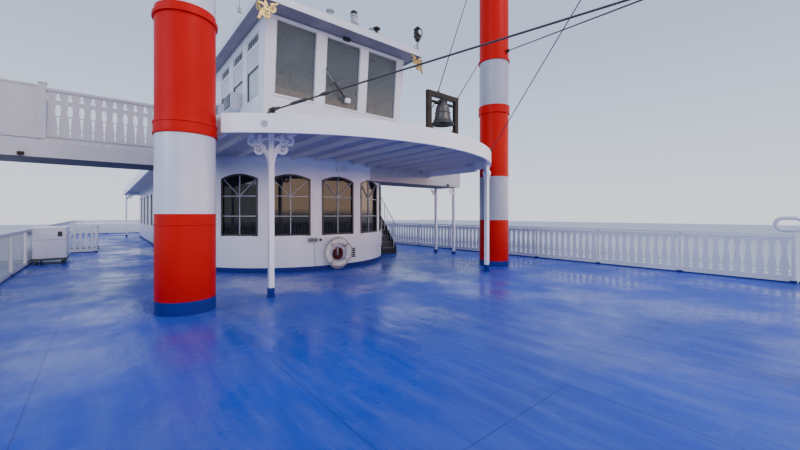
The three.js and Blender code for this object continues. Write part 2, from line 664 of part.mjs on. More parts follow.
function makePilothouse() {
  const slope = PILOT.lean / PILOT_HEIGHT;
  const frontShape = rectangle(0, 2 * PILOT.half, SEAT, PILOT_HEIGHT - SEAT);
  PILOT_FRONT_WINDOWS.forEach((y) => {
    const middle = y - PILOT.middle + PILOT.half;
    frontShape.holes.push(rectangle(middle - PILOT_WINDOW.width / 2, middle + PILOT_WINDOW.width / 2,
      PILOT_WINDOW.sill, PILOT_WINDOW.head));
  });
  const geometry = geometryOf(standing(frontShape, PILOT.wall,
    [-PILOT.wall / 2, PILOT.middle - PILOT.half], [-PILOT.wall / 2, PILOT.middle], 0));
  geometry.applyMatrix4(new THREE.Matrix4().set(
    1, 0, slope, PILOT.front,
    0, 1, 0, 0,
    0, 0, 1, ROOF_TOP,
    0, 0, 0, 1));
  addPart('pilothouse_front', solid(geometry), WHITE);

  SIDES.forEach(([name, side]) => {
    const foreLow = PILOT.front - PILOT.wall - SEAT;
    const shape = outline([[PILOT.aft, SEAT], [foreLow, SEAT],
      [foreLow + slope * PILOT_HEIGHT, PILOT_HEIGHT - SEAT], [PILOT.aft, PILOT_HEIGHT - SEAT]]);
    PILOT_SIDE_WINDOWS.forEach((aft) => {
      const fore = aft + PILOT_SIDE.width;
      shape.holes.push(rectangle(aft, fore, PILOT_SIDE.sill, PILOT_SIDE.bar));
      shape.holes.push(rectangle(aft, fore, PILOT_SIDE.bar + 70, PILOT_SIDE.head));
    });
    const y = PILOT.middle + side * (PILOT.half - PILOT.wall / 2);
    addPart(`pilothouse_${name}`, standing(shape, PILOT.wall, [0, y], [1, y], ROOF_TOP), WHITE);
  });

  const inner = PILOT.half - PILOT.wall - SEAT;
  const aftShape = wallShape(2 * inner, PILOT_HEIGHT, [], inner + PILOT_DOOR_Y - PILOT.middle);
  [inner - 1280, inner + 1180].forEach((middle) => {
    aftShape.holes.push(rectangle(middle - 350, middle + 350, PILOT_SIDE.sill, PILOT_SIDE.bar));
  });
  addPart('pilothouse_aft', standing(aftShape, PILOT.wall,
    [PILOT.aft + PILOT.wall / 2, PILOT.middle - inner],
    [PILOT.aft + PILOT.wall / 2, PILOT.middle], ROOF_TOP), WHITE);
}

const LAMP = { x: 10570, y: 2040, radius: 130 };

function makePilotRoof() {
  const top = PILOT_ROOF_UNDER + PILOT_ROOF_THICK;
  const aft = PILOT.aft - PILOT_OVERHANG.aft;
  const fore = PILOT.front + PILOT.lean + PILOT_OVERHANG.fore;
  const half = PILOT.half + PILOT_OVERHANG.side;
  const middle = (aft + fore) / 2;
  const crown = frontCrown(half, PILOT_ROOF_UNDER, top, 130);
  const roof = standing(outline(crown), fore - aft, [middle, PILOT.middle], [middle, PILOT.middle + 1], 0);
  const stalk = bar([LAMP.x, LAMP.y, top - 100], [LAMP.x, LAMP.y, top + 480], 35);
  const drum = bar([LAMP.x - 130, LAMP.y, top + 560], [LAMP.x + 140, LAMP.y, top + 560], LAMP.radius, 12);
  addPart('pilothouse_roof', union([roof, stalk, drum]), WHITE);
}

function frontCrown(half, under, top, rise) {
  return [[-half, under], [half, under], [half, top], [half * 0.5, top + rise * 0.75], [0, top + rise],
    [-half * 0.5, top + rise * 0.75], [-half, top]];
}

// Stacks: banded tubes with flanged rings and a flared crown

// radius of each stretch and the height above the third deck at which it ends
const STACK_PROFILE = [
  { radius: 440, to: 200 },
  { radius: 420, to: 1250 },
  { radius: 455, to: 1310 },
  { radius: 420, to: 2660 },
  { radius: 455, to: 2720 },
  { radius: 420, to: 4470 },
  { radius: 455, to: 4530 },
  { radius: 420, to: 5960 },
  { radius: 455, to: 6030 },
  { radius: 420, to: 8200 },
];
const CROWN = [[420, 8200], [520, 8650], [700, 9120], [700, 9250], [640, 9300], [460, 8700], [360, 8200]];
const STACK_FLUE = [[360, 7600], [0, 7600]];

// Eye plate on each stack over its top ring, facing the bow, where a stay ends
const STACK_EYE = { reach: 520, z: 6200 };
const stackEye = (side) => [STACK_X + STACK_EYE.reach, stackY(side), THIRD_DECK_Z + STACK_EYE.z];

function makeStacks() {
  const profile = [[0, SEAT]];
  let low = SEAT;
  STACK_PROFILE.forEach(({ radius, to }) => {
    profile.push([radius, low], [radius, to]);
    low = to;
  });
  profile.push(...CROWN.slice(1), ...STACK_FLUE);
  const raised = profile.map(([radius, z]) => [radius, z + THIRD_DECK_Z]);
  SIDES.forEach(([name, side]) => {
    const [eyeX, y, z] = stackEye(side);
    const eye = box(STACK_X + 400, eyeX, y - 25, y + 25, z - 40, z + 40);
    addPart(`stack_${name}`, turned(raised, STACK_X, y, 16).add(eye), RED);
  });
}

// Railings: one flat elevation per straight run, with gaps between its boards; the lower decks' railings
// run up to the deck above as a colonnade

const RAIL_POST = 100;
const RAIL_THICK = 60;
const RAIL_GAP = { low: 150, high: 950 };
const GAP_SHARE = 0.22;         // half of a gap, as a share of the boards' pitch
const HEADER = 200;             // depth of the beam along a colonnade's top
const CORNER_LAP = 12;

function railElevation(length, bays, gaps, height) {
  const shape = rectangle(0, length, SEAT, height);
  const bay = length / bays;
  const clear = bay - RAIL_POST;
  const pitch = clear / gaps;
  for (let i = 0; i < bays; i += 1) {
    const from = i * bay + RAIL_POST / 2;
    for (let k = 0; k < gaps; k += 1) {
      const middle = from + (k + 0.5) * pitch;
      shape.holes.push(rectangle(middle - pitch * GAP_SHARE, middle + pitch * GAP_SHARE,
        RAIL_GAP.low, RAIL_GAP.high));
    }
    if (height > RAIL_HEIGHT) {
      shape.holes.push(rectangle(from, from + clear, RAIL_HEIGHT, height - HEADER));
    }
  }
  return shape;
}

function railRun(start, end, z, gaps, height) {
  const length = Math.hypot(end[0] - start[0], end[1] - start[1]);
  const bays = Math.max(1, Math.round(length / BAY));
  return standing(railElevation(length, bays, gaps, height), RAIL_THICK, start, end, z);
}

// Joins runs that meet at corners: each run is a little longer than its line, so that they overlap there
function railLine(points, z, gaps, height) {
  const runs = [];
  for (let i = 1; i < points.length; i += 1) {
    const start = new THREE.Vector2(...points[i - 1]);
    const end = new THREE.Vector2(...points[i]);
    const lap = end.clone().sub(start).setLength(CORNER_LAP);
    runs.push(railRun(start.sub(lap).toArray(), end.add(lap).toArray(), z, gaps, height));
  }
  return union(runs);
}

const CORNER_GAP = 80;          // between neighbouring railings at a deck's corners

function makeUpperRails() {
  const levels = [
    ['second', SECOND_DECK_Z, SECOND_STEP - RAIL_INSET, 1, THIRD_DECK_Z - DECK_THICK - SECOND_DECK_Z - SEAT],
    ['third', THIRD_DECK_Z, -RAIL_INSET, 2, RAIL_HEIGHT],
  ];
  levels.forEach(([level, z, grow, gaps, height]) => {
    const edge = upperEdge(grow);
    const aft = TRANSOM_X + RAIL_INSET;
    SIDES.forEach(([name, side]) => {
      const y = side * edge.side;
      addPart(`${level}_rail_${name}`,
        railRun([aft, y], [SHOULDER_X - CORNER_GAP, y], z, gaps, height), WHITE);
    });
    addPart(`${level}_rail_front`, railLine([[SHOULDER_X + CORNER_GAP, edge.side], ...edge.front,
      [SHOULDER_X + CORNER_GAP, -edge.side]], z, gaps, height), WHITE);
    const acrossHalf = edge.side - 50;
    addPart(`${level}_rail_aft`, railRun([aft, -acrossHalf], [aft, acrossHalf], z, gaps, height), WHITE);
  });
}

// Main deck: posts and low bulwark along the sides, posts under the second deck's front, bow bulwark

const MAIN_RAIL = { y: 6850, aft: -18000, fore: 13500 };
const BULWARK = { from: 18600, height: 900, thick: 80, inset: 120 };

function makeMainDeckRails() {
  const height = SECOND_DECK_Z - DECK_THICK - MAIN_DECK_Z - SEAT;
  SIDES.forEach(([name, side]) => {
    const y = side * MAIN_RAIL.y;
    const rail = railRun([MAIN_RAIL.aft, y], [MAIN_RAIL.fore, y], MAIN_DECK_Z, 1, height);
    addPart(`main_rail_${name}`, rail, WHITE);
  });
  const edge = upperEdge(SECOND_STEP - RAIL_INSET);
  const posts = edge.front.map(([x, y]) => box(x - 50, x + 50, y - 50, y + 50,
    MAIN_DECK_Z + SEAT, MAIN_DECK_Z + height));
  const header = [];
  for (let i = 1; i < edge.front.length; i += 1) {
    const [start, end] = [edge.front[i - 1], edge.front[i]];
    const length = Math.hypot(end[0] - start[0], end[1] - start[1]);
    header.push(standing(rectangle(0, length, height - 200, height), 60, start, end, MAIN_DECK_Z));
  }
  addPart('fore_posts', union([...posts, ...header]), WHITE);

  const stations = [BULWARK.from, ...BOW_STATIONS.slice(3, -1), BOW_X - 250];
  const line = (inset) => stations.map((x) => [x, guardHalf(x) - inset]);
  const outer = line(BULWARK.inset);
  const inner = line(BULWARK.inset + BULWARK.thick);
  inner[inner.length - 1][0] -= BULWARK.thick;
  const port = [...outer, ...outer.slice().reverse().map(([x, y]) => [x, -y])];
  const starboard = [...inner.map(([x, y]) => [x, -y]), ...inner.slice().reverse()];
  addPart('bow_bulwark', plate(outline([...port, ...starboard]),
    MAIN_DECK_Z + SEAT, MAIN_DECK_Z + BULWARK.height), WHITE);
}

// Sternwheel: three spoked frames on a shaft, with paddle boards across them

const WHEEL = { x: -21400, z: 3200, radius: 2600, half: 4000, floats: 12, ring: 2250, ringDepth: 130,
  hub: 380, spoke: 110, frame: 90, boardDepth: 700, boardThick: 60, shaft: 140, shaftHalf: 4640, sides: 24 };

function wheelFrame(y) {
  const step = (2 * Math.PI) / WHEEL.floats;
  const at = (radius, angle) => [radius * Math.cos(angle), radius * Math.sin(angle)];
  const rim = [];
  for (let i = 0; i < 2 * WHEEL.floats; i += 1) rim.push(at(WHEEL.ring, (i * step) / 2));
  const shape = outline(rim);
  const inside = WHEEL.ring - WHEEL.ringDepth;
  for (let i = 0; i < WHEEL.floats; i += 1) {
    const from = i * step;
    const nearHub = WHEEL.spoke / 2 / WHEEL.hub;
    const nearRim = WHEEL.spoke / 2 / inside;
    shape.holes.push(outline([at(WHEEL.hub, from + nearHub), at(WHEEL.hub, from + step - nearHub),
      at(inside, from + step - nearRim), at(inside * 1.01, from + step / 2), at(inside, from + nearRim)]));
  }
  return standing(shape, WHEEL.frame, [WHEEL.x, y], [WHEEL.x + 1, y], WHEEL.z);
}

function makePaddleWheel() {
  const pieces = [-1, 0, 1].map((k) => wheelFrame(k * (WHEEL.half - 250)));
  for (let i = 0; i < WHEEL.floats; i += 1) {
    const angle = Math.PI + (i * 2 * Math.PI) / WHEEL.floats;
    const board = new THREE.BoxGeometry(WHEEL.boardDepth, 2 * WHEEL.half, WHEEL.boardThick);
    board.translate(WHEEL.radius - WHEEL.boardDepth / 2, 0, 0);
    board.rotateY(-angle);
    board.translate(WHEEL.x, 0, WHEEL.z);
    pieces.push(solid(board));
  }
  const shaft = new THREE.CylinderGeometry(WHEEL.shaft, WHEEL.shaft, 2 * WHEEL.shaftHalf, WHEEL.sides);
  shaft.translate(WHEEL.x, 0, WHEEL.z);
  pieces.push(solid(shaft));
  addPart('paddle_wheel', union(pieces), RED);
}

// Timbers that carry the wheel aft of the hull, with a bearing block on each
const TIMBER = { inner: 4250, outer: 4600, fore: -13000, aft: -22000, depth: 500, block: 420 };

function makeWheelBeams() {
  const boreRadius = (WHEEL.shaft + SEAT) / Math.cos(Math.PI / WHEEL.sides);
  SIDES.forEach(([name, side]) => {
    const low = Math.min(side * TIMBER.inner, side * TIMBER.outer);
    const high = Math.max(side * TIMBER.inner, side * TIMBER.outer);
    const bottom = MAIN_DECK_Z + SEAT;
    const timber = box(TIMBER.aft, -15500 - 20, low, high, bottom, bottom + TIMBER.depth);
    const block = box(WHEEL.x - TIMBER.block, WHEEL.x + TIMBER.block, low, high, bottom, WHEEL.z + 380);
    const bore = new THREE.CylinderGeometry(boreRadius, boreRadius, 900, WHEEL.sides);
    bore.translate(WHEEL.x, (low + high) / 2, WHEEL.z);
    addPart(`wheel_beam_${name}`, union([timber, block]).subtract(solid(bore)), WHITE);
  });
}

// Rudders: balanced blades under the raked stern, each turning on its stock

function makeRudders() {
  SIDES.forEach(([name, side]) => {
    const y = side * RUDDER_Y;
    const blade = box(-18800, -16850, y - 45, y + 45, 120, 660);
    const stock = bar([RUDDER_X, y, 300], [RUDDER_X, y, RUDDER_BOSS_Z - SEAT], 80, 12);
    addPart(`rudder_${name}`, union([blade, stock]), HULL_BLUE);
  });
}

// Bell in its upright frame on the roof's front edge

const BELL = { x: 13050, y: 550, z: ROOF_TOP + 700, mouth: 250 };
const BELL_FRAME = { width: 900, height: 900, post: 80 };

function makeBell() {
  const half = BELL_FRAME.width / 2;
  const frame = rectangle(-half, half, SEAT, BELL_FRAME.height);
  frame.holes.push(rectangle(BELL_FRAME.post - half, half - BELL_FRAME.post, BELL_FRAME.post,
    BELL_FRAME.height - BELL_FRAME.post));
  const upright = standing(frame, BELL_FRAME.post, [BELL.x, BELL.y], [BELL.x, BELL.y + 1], ROOF_TOP);
  addPart('bell_frame', upright, BLACK);
  const profile = [[0, 0], [110, 0], [140, -40], [150, -150], [165, -260], [200, -340], [250, -400],
    [232, -400], [180, -330], [145, -250], [128, -150], [110, -60], [0, -50]];
  const cup = turned(profile.map(([radius, z]) => [radius, z + BELL.z - 40]), BELL.x, BELL.y, 16);
  const reach = half - BELL_FRAME.post - SEAT;
  const yoke = bar([BELL.x, BELL.y - reach, BELL.z], [BELL.x, BELL.y + reach, BELL.z], 45);
  addPart('bell', union([cup, yoke]), BRONZE);
}

// Life ring on the cabin's front, held off the wall by its hook
const LIFE_RING = { outer: 390, tube: 75, z: THIRD_DECK_Z + 460, stand: 90 };

function makeLifeRing() {
  const x = CABIN.centre + CABIN.radius + LIFE_RING.stand + LIFE_RING.tube;
  const ring = new THREE.TorusGeometry(LIFE_RING.outer - LIFE_RING.tube, LIFE_RING.tube, 8, 20);
  ring.rotateY(Math.PI / 2);
  ring.translate(x, 0, LIFE_RING.z);
  const top = LIFE_RING.z + LIFE_RING.outer - LIFE_RING.tube;
  const hook = box(CABIN.centre + CABIN.radius + SEAT, x, -30, 30, top - 20, top + 20);
  addPart('life_ring', union([solid(ring), hook]), WHITE);
}

// Deck locker on the starboard side of the third deck, on its casters
const LOCKER = { aft: 2200, fore: 3400, low: -6570, high: -5770, height: 1120, leg: 130 };

function makeLocker() {
  const base = THIRD_DECK_Z;
  const body = box(LOCKER.aft, LOCKER.fore, LOCKER.low, LOCKER.high, base + LOCKER.leg, base + LOCKER.height);
  const wheels = [LOCKER.aft + 100, LOCKER.fore - 100].flatMap((x) => [LOCKER.low + 100, LOCKER.high - 100]
    .map((y) => box(x - 45, x + 45, y - 25, y + 25, base + SEAT, base + LOCKER.leg + 5)));
  addPart('deck_locker', union([body, ...wheels]), WHITE);
}

// Stairs

const ROOF_STAIR = { foot: 7400, head: ROOF_NOTCH.aft + 10, low: 3170, high: 3860,
  from: THIRD_DECK_Z, to: ROOF_TOP };

// Railing along the inboard side and across the fore end of the side stair's well, on posts that
// stand on the flight
function wellRail(stair) {
  const way = Math.sign(stair.head - stair.foot);
  const inboard = stair.high - 5;
  const outboard = stair.low + 5;
  const start = [stair.foot + way * WELL_FROM_FOOT, inboard];
  const end = [stair.head - way * 100, inboard];
  const length = Math.abs(end[0] - start[0]);
  const post = (x, y) => {
    const foot = stair.from + ((x - stair.foot) / (stair.head - stair.foot)) * (stair.to - stair.from);
    return box(x - 40, x + 40, y - 30, y + 30, foot - 150, stair.to + RAIL_HEIGHT - 20);
  };
  const posts = [0.15, 0.55, 0.95].map((share) => post(start[0] + way * share * length, inboard - 5));
  const corner = start[0] + way * 15;
  const side = standing(railElevation(length, 2, 4, RAIL_HEIGHT), 50, start, end, stair.to);
  const across = standing(railElevation(inboard - outboard, 1, 4, RAIL_HEIGHT), 50,
    [corner, outboard], [corner, inboard], stair.to);
  return union([side, across, post(corner, outboard + 30), post(corner, inboard - 5), ...posts]);
}

function makeStairs() {
  const { stair_to_second_deck: fore, stair_to_third_deck: side } = STAIRS;
  addPart('stair_to_second_deck', flight(fore), STEEL);
  addPart('stair_to_third_deck', flight(side).add(wellRail(side)), STEEL);
  addPart('stair_to_roof', flight(ROOF_STAIR), STEEL);
}

// Foremast on the third deck, with its two main stays
const MAST = { x: 18400, radius: 110, height: 7200, eye: 3970 };
const LUG_REACH = 160;
const ROOF_EYE = [12520, -2830, ROOF_TOP + 60];   // the foot of the long stay stands on the roof's front edge

function makeForemast() {
  const base = THIRD_DECK_Z;
  const truck = MAST.height - 60;
  const profile = [[0, SEAT], [190, SEAT], [190, 60], [MAST.radius, 90], [70, truck], [90, truck],
    [90, MAST.height], [0, MAST.height]];
  const pole = turned(profile.map(([radius, z]) => [radius, z + base]), MAST.x, 0, 12);
  const yard = bar([MAST.x, -900, base + 6200], [MAST.x, 900, base + 6200], 45);
  const band = bar([MAST.x, 0, base + MAST.eye - 120], [MAST.x, 0, base + MAST.eye + 120], 125, 12);
  const lug = box(MAST.x - LUG_REACH, MAST.x, -70, 70, base + MAST.eye - 100, base + MAST.eye + 100);
  addPart('foremast', union([pole, yard, band, lug]), WHITE);
  const fore = MAST.x - LUG_REACH;
  addPart('stay_stack', stay([fore, 45, base + MAST.eye + 60], stackEye(1)), STEEL);
  const [eyeX, eyeY, eyeZ] = ROOF_EYE;
  const eye = box(eyeX - 80, eyeX + 20, eyeY - 40, eyeY + 40, ROOF_TOP + SEAT, eyeZ + 30);
  addPart('stay_pilothouse', stay([fore, -45, base + MAST.eye - 60], ROOF_EYE).add(eye), STEEL);
}

const STAY_RADIUS = 14;

// A taut stay between two eyes, stopping just short of each so that its end's tilted rim clears the lug
function stay(from, to) {
  const start = new THREE.Vector3(...from);
  const end = new THREE.Vector3(...to);
  const way = end.clone().sub(start).normalize();
  const tilt = (STAY_RADIUS * Math.hypot(way.y, way.z) + SEAT * 1.4) / Math.abs(way.x);
  start.addScaledVector(way, tilt);
  end.addScaledVector(way, -tilt);
  return bar(start.toArray(), end.toArray(), STAY_RADIUS, 6);
}

// Helm console in the pilothouse, and the engine inside the main house
function makeMachinery() {
  const base = ROOF_TOP + SEAT;
  const desk = box(8600, 9300, -900, 900, base, base + 950);
  const top = box(8500, 9400, -950, 950, base + 900, base + 1000);
  const wheel = bar([8380, 0, base + 950], [8440, 0, base + 950], 450, 16);
  const spindle = bar([8380, 0, base + 950], [8700, 0, base + 950], 50);
  addPart('helm_console', union([desk, top, wheel, spindle]), OAK);
  const engine = box(-14500, -10500, -1500, 1500, MAIN_DECK_Z + SEAT, MAIN_DECK_Z + 1900);
  addPart('engine_block', engine, ENGINE_GREEN);
}

// Doors: name, wall face, turn of the drawing, hinge place and deck
function makeDoors() {
  const half = DOOR_WIDTH / 2;
  HOUSES.forEach((house) => {
    addPart(`door_${house.name}`, doorSolid(Math.PI / 2, house.front, -half, house.floor), OAK);
  });
  addPart('door_cabin_starboard', doorSolid(0, CABIN_DOOR_X - half, -CABIN.radius, THIRD_DECK_Z), OAK);
  addPart('door_cabin_port', doorSolid(Math.PI, CABIN_DOOR_X + half, CABIN.radius, THIRD_DECK_Z), OAK);
  addPart('door_pilothouse', doorSolid(-Math.PI / 2, PILOT.aft, PILOT_DOOR_Y + half, ROOF_TOP), OAK);
}

makeHull();
makeDecks();
makeHouses();
makeCabinFront();
makeCabinWalls();
makeRoof();
makeWings();
makePilothouse();
makePilotRoof();
makeStacks();
makeUpperRails();
makeMainDeckRails();
makePaddleWheel();
makeWheelBeams();
makeRudders();
makeBell();
makeLifeRing();
makeLocker();
makeStairs();
makeForemast();
makeMachinery();
makeDoors();

boat.scale.setScalar(MODEL_SCALE);

export default boat;
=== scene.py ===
"""Looks of the sternwheel paddle boat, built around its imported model.

Lengths are the real boat's, in metres from the model's origin, and each finished mesh is scaled to the
model: +X to the bow, +Y to port, +Z up."""

import json
import math

import bpy
from mathutils import Matrix, Vector
from mathutils.geometry import tessellate_polygon


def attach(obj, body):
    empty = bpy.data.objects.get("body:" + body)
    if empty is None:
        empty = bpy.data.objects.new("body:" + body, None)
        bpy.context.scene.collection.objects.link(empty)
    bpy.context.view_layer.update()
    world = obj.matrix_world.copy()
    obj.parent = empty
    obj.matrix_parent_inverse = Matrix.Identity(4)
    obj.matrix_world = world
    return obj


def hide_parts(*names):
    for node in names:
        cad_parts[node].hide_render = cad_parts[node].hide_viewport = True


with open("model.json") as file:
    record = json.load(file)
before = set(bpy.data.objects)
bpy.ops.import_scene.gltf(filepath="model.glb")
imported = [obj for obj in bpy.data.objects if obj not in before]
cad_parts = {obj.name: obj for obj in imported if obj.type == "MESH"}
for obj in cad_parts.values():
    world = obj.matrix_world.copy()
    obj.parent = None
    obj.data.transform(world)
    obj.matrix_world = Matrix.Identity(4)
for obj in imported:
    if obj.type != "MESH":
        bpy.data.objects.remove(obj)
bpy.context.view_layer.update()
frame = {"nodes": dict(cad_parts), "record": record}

# Driving dimensions, as in the model
SCALE = 0.5
MAIN_Z, SECOND_Z, THIRD_Z = 2.4, 5.25, 8.1
DECK_THICK = 0.15
ROOF_Z = THIRD_Z + 3.11
TRANSOM_X = -18.5
FRONT_X, CORNER_X, CORNER_HALF = 20.1, 18.15, 6.55
SHOULDER_X = 17.78
THIRD_HALF = 6.8
SECOND_STEP = 0.18
RAIL_INSET = 0.15
RAIL_HEIGHT = 1.07
STACK_X = 11.8
STACK_Y = {"port": 4.05, "starboard": -3.93}
CABIN_X, CABIN_RADIUS, CABIN_AFT = 6.45, 3.08, -11.2
SIDES = (("port", 1), ("starboard", -1))
WATER_Z = 0.7                   # the floor's height in the model, at the waterline

UP = Vector((0, 0, 1))
LEVEL = Matrix.Identity(4)      # place of a plan


# Shapes: points and faces gathered in real metres, then made into one object

class Shape:
    """Closed forms that end up in one object, each face with its paint."""

    def __init__(self):
        self.points, self.faces, self.paints, self.smooth = [], [], [], []

    def add(self, points, faces, paint, smooth=False):
        first = len(self.points)
        self.points.extend(points)
        self.faces.extend([first + i for i in face] for face in faces)
        self.paints.extend([paint] * len(faces))
        self.smooth.extend([smooth] * len(faces))

    def box(self, x, y, z, paint, place=None):
        """A box between the two values in each of x, y and z."""
        points = [Vector((x[i], y[j], z[k])) for k in (0, 1) for j in (0, 1) for i in (0, 1)]
        if place:
            points = [place @ p for p in points]
        faces = ((0, 2, 3, 1), (4, 5, 7, 6), (0, 1, 5, 4), (2, 6, 7, 3), (0, 4, 6, 2), (1, 3, 7, 5))
        self.add(points, faces, paint)

    def tube(self, path, radius, paint, sides=8, closed=False):
        """A round tube along a path; radius is one value or one for each point."""
        path = [Vector(p) for p in path]
        count = len(path)
        radii = radius if isinstance(radius, (list, tuple)) else [radius] * count
        across = None
        points = []
        for i, p in enumerate(path):
            ahead = path[(i + 1) % count] if closed or i < count - 1 else p
            behind = path[i - 1] if closed or i > 0 else p
            way = (ahead - behind).normalized()
            if across is None:
                across = way.orthogonal().normalized()
            across = (across - way * across.dot(way)).normalized()
            other = way.cross(across)
            for k in range(sides):
                turn = 2 * math.pi * k / sides
                points.append(p + (across * math.cos(turn) + other * math.sin(turn)) * radii[i])
        faces = []
        for i in range(count if closed else count - 1):
            a, b = i * sides, ((i + 1) % count) * sides
            faces.extend((a + k, a + (k + 1) % sides, b + (k + 1) % sides, b + k) for k in range(sides))
        self.add(points, faces, paint, True)
        if not closed:
            self.add(points[:sides], [tuple(reversed(range(sides)))], paint)
            self.add(points[-sides:], [tuple(range(sides))], paint)

    def lathe(self, profile, place, paints, sides=32):
        """A round solid from (radius, height) points; paints is one paint or one for each stretch."""
        points = []
        for radius, z in profile:
            for k in range(sides):
                turn = 2 * math.pi * k / sides
                points.append(place @ Vector((radius * math.cos(turn), radius * math.sin(turn), z)))
        for i in range(len(profile) - 1):
            paint = paints if isinstance(paints, str) else paints[i]
            a, b = i * sides, (i + 1) * sides
            faces = [(a + k, a + (k + 1) % sides, b + (k + 1) % sides, b + k) for k in range(sides)]
            ring = points[a:b + sides]
            self.add(ring, [[j - a for j in face] for face in faces], paint, True)

    def prism(self, outline, low, high, place, paint, holes=()):
        """A flat outline with holes, drawn out from low to high along its own third axis."""
        loops = [list(outline), *[list(hole) for hole in holes]]
        flat = [p for loop in loops for p in loop]
        triangles = tessellate_polygon([[Vector((*p, 0)) for p in loop] for loop in loops])
        count = len(flat)
        points = [place @ Vector((*p, z)) for z in (low, high) for p in flat]
        faces = []
        for a, b, c in triangles:
            pa, pb, pc = flat[a], flat[b], flat[c]
            turn = (pb[0] - pa[0]) * (pc[1] - pa[1]) - (pb[1] - pa[1]) * (pc[0] - pa[0])
            if turn < 0:
                b, c = c, b
            faces += [(a, c, b), (count + a, count + b, count + c)]
        first = 0
        for number, loop in enumerate(loops):
            size = len(loop)
            area = sum(loop[i - 1][0] * loop[i][1] - loop[i][0] * loop[i - 1][1] for i in range(size))
            outward = (area > 0) == (number == 0)
            for i in range(size):
                a, b = first + i, first + (i + 1) % size
                face = (a, b, count + b, count + a)
                faces.append(face if outward else face[::-1])
            first += size
        self.add(points, faces, paint)

    def make(self, name, body="boat", replaces=()):
        mesh = bpy.data.meshes.new(name)
        mesh.from_pydata([tuple(p * SCALE) for p in self.points], [], self.faces)
        names = sorted(set(self.paints))
        for paint in names:
            mesh.materials.append(PAINTS[paint])
        mesh.polygons.foreach_set("material_index", [names.index(paint) for paint in self.paints])
        mesh.polygons.foreach_set("use_smooth", self.smooth)
        mesh.update()
        piece = bpy.data.objects.new(name, mesh)
        bpy.context.scene.collection.objects.link(piece)
        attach(piece, body)
        if replaces:
            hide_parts(*replaces)
        return piece


def upright(x, y, z, turn=0.0):
    """Place of an elevation: its first axis level at the given turn, its second up, its third across."""
    along = Vector((math.cos(turn), math.sin(turn), 0))
    across = along.cross(UP)
    return Matrix(((along.x, 0, across.x, x), (along.y, 0, across.y, y), (0, 1, 0, z), (0, 0, 0, 1)))


def circle(x, y, radius, start=0.0, end=360.0, steps=24):
    """Points on an arc between two angles in degrees; the last is left out of a full circle."""
    count = steps if abs(end - start) >= 360 else steps + 1
    turns = [math.radians(start + (end - start) * i / steps) for i in range(count)]
    return [(x + radius * math.cos(t), y + radius * math.sin(t)) for t in turns]


def rect(x0, x1, y0, y1):
    """Corners of an upright rectangle."""
    return [(x0, y0), (x1, y0), (x1, y1), (x0, y1)]


def about(middle, half):
    """Both ends of a stretch, from its middle and half its length."""
    return (middle - half, middle + half)


def at(x, y, z):
    """Place moved, with no turn."""
    return Matrix.Translation((x, y, z))


def sawn_path(path, widths):
    """Outline of a flat piece sawn along a path, with its width at each point."""
    left, right = [], []
    for i, p in enumerate(path):
        ahead, behind = path[min(i + 1, len(path) - 1)], path[max(i - 1, 0)]
        way = (Vector(ahead) - Vector(behind)).normalized()
        side = Vector((-way.y, way.x)) * widths[i] / 2
        left.append(tuple(Vector(p) + side))
        right.append(tuple(Vector(p) - side))
    return left + right[::-1]


# Materials: each has its own variation, wear and relief, in the model's metres

class Tree:
    """Adds linked shader nodes to a node tree."""

    def __init__(self, tree):
        self.tree = tree

    def new(self, kind, **inputs):
        node = self.tree.nodes.new(kind)
        for key, value in inputs.items():
            self.set(node.inputs[key.replace("_", " ")], value)
        return node

    def set(self, socket, value):
        if isinstance(value, bpy.types.NodeSocket):
            self.tree.links.new(value, socket)
        else:
            socket.default_value = value

    def ramp(self, value, stops):
        """A colour or grey ramp from (position, colour) stops."""
        node = self.new("ShaderNodeValToRGB", Fac=value)
        elements = node.color_ramp.elements
        while len(elements) < len(stops):
            elements.new(0.5)
        for element, (position, colour) in zip(elements, stops):
            element.position = position
            grey = isinstance(colour, (int, float))
            element.color = (colour, colour, colour, 1) if grey else (*colour, 1)
        return node.outputs["Color"]

    def mix(self, share, low, high):
        node = self.tree.nodes.new("ShaderNodeMix")
        node.data_type = "RGBA"
        for socket, value in zip((node.inputs[0], node.inputs[6], node.inputs[7]), (share, low, high)):
            self.set(socket, (*value, 1) if isinstance(value, tuple) else value)
        return node.outputs[2]

    def math(self, kind, a, b=0.0):
        node = self.tree.nodes.new("ShaderNodeMath")
        node.operation = kind
        self.set(node.inputs[0], a)
        self.set(node.inputs[1], b)
        return node.outputs[0]


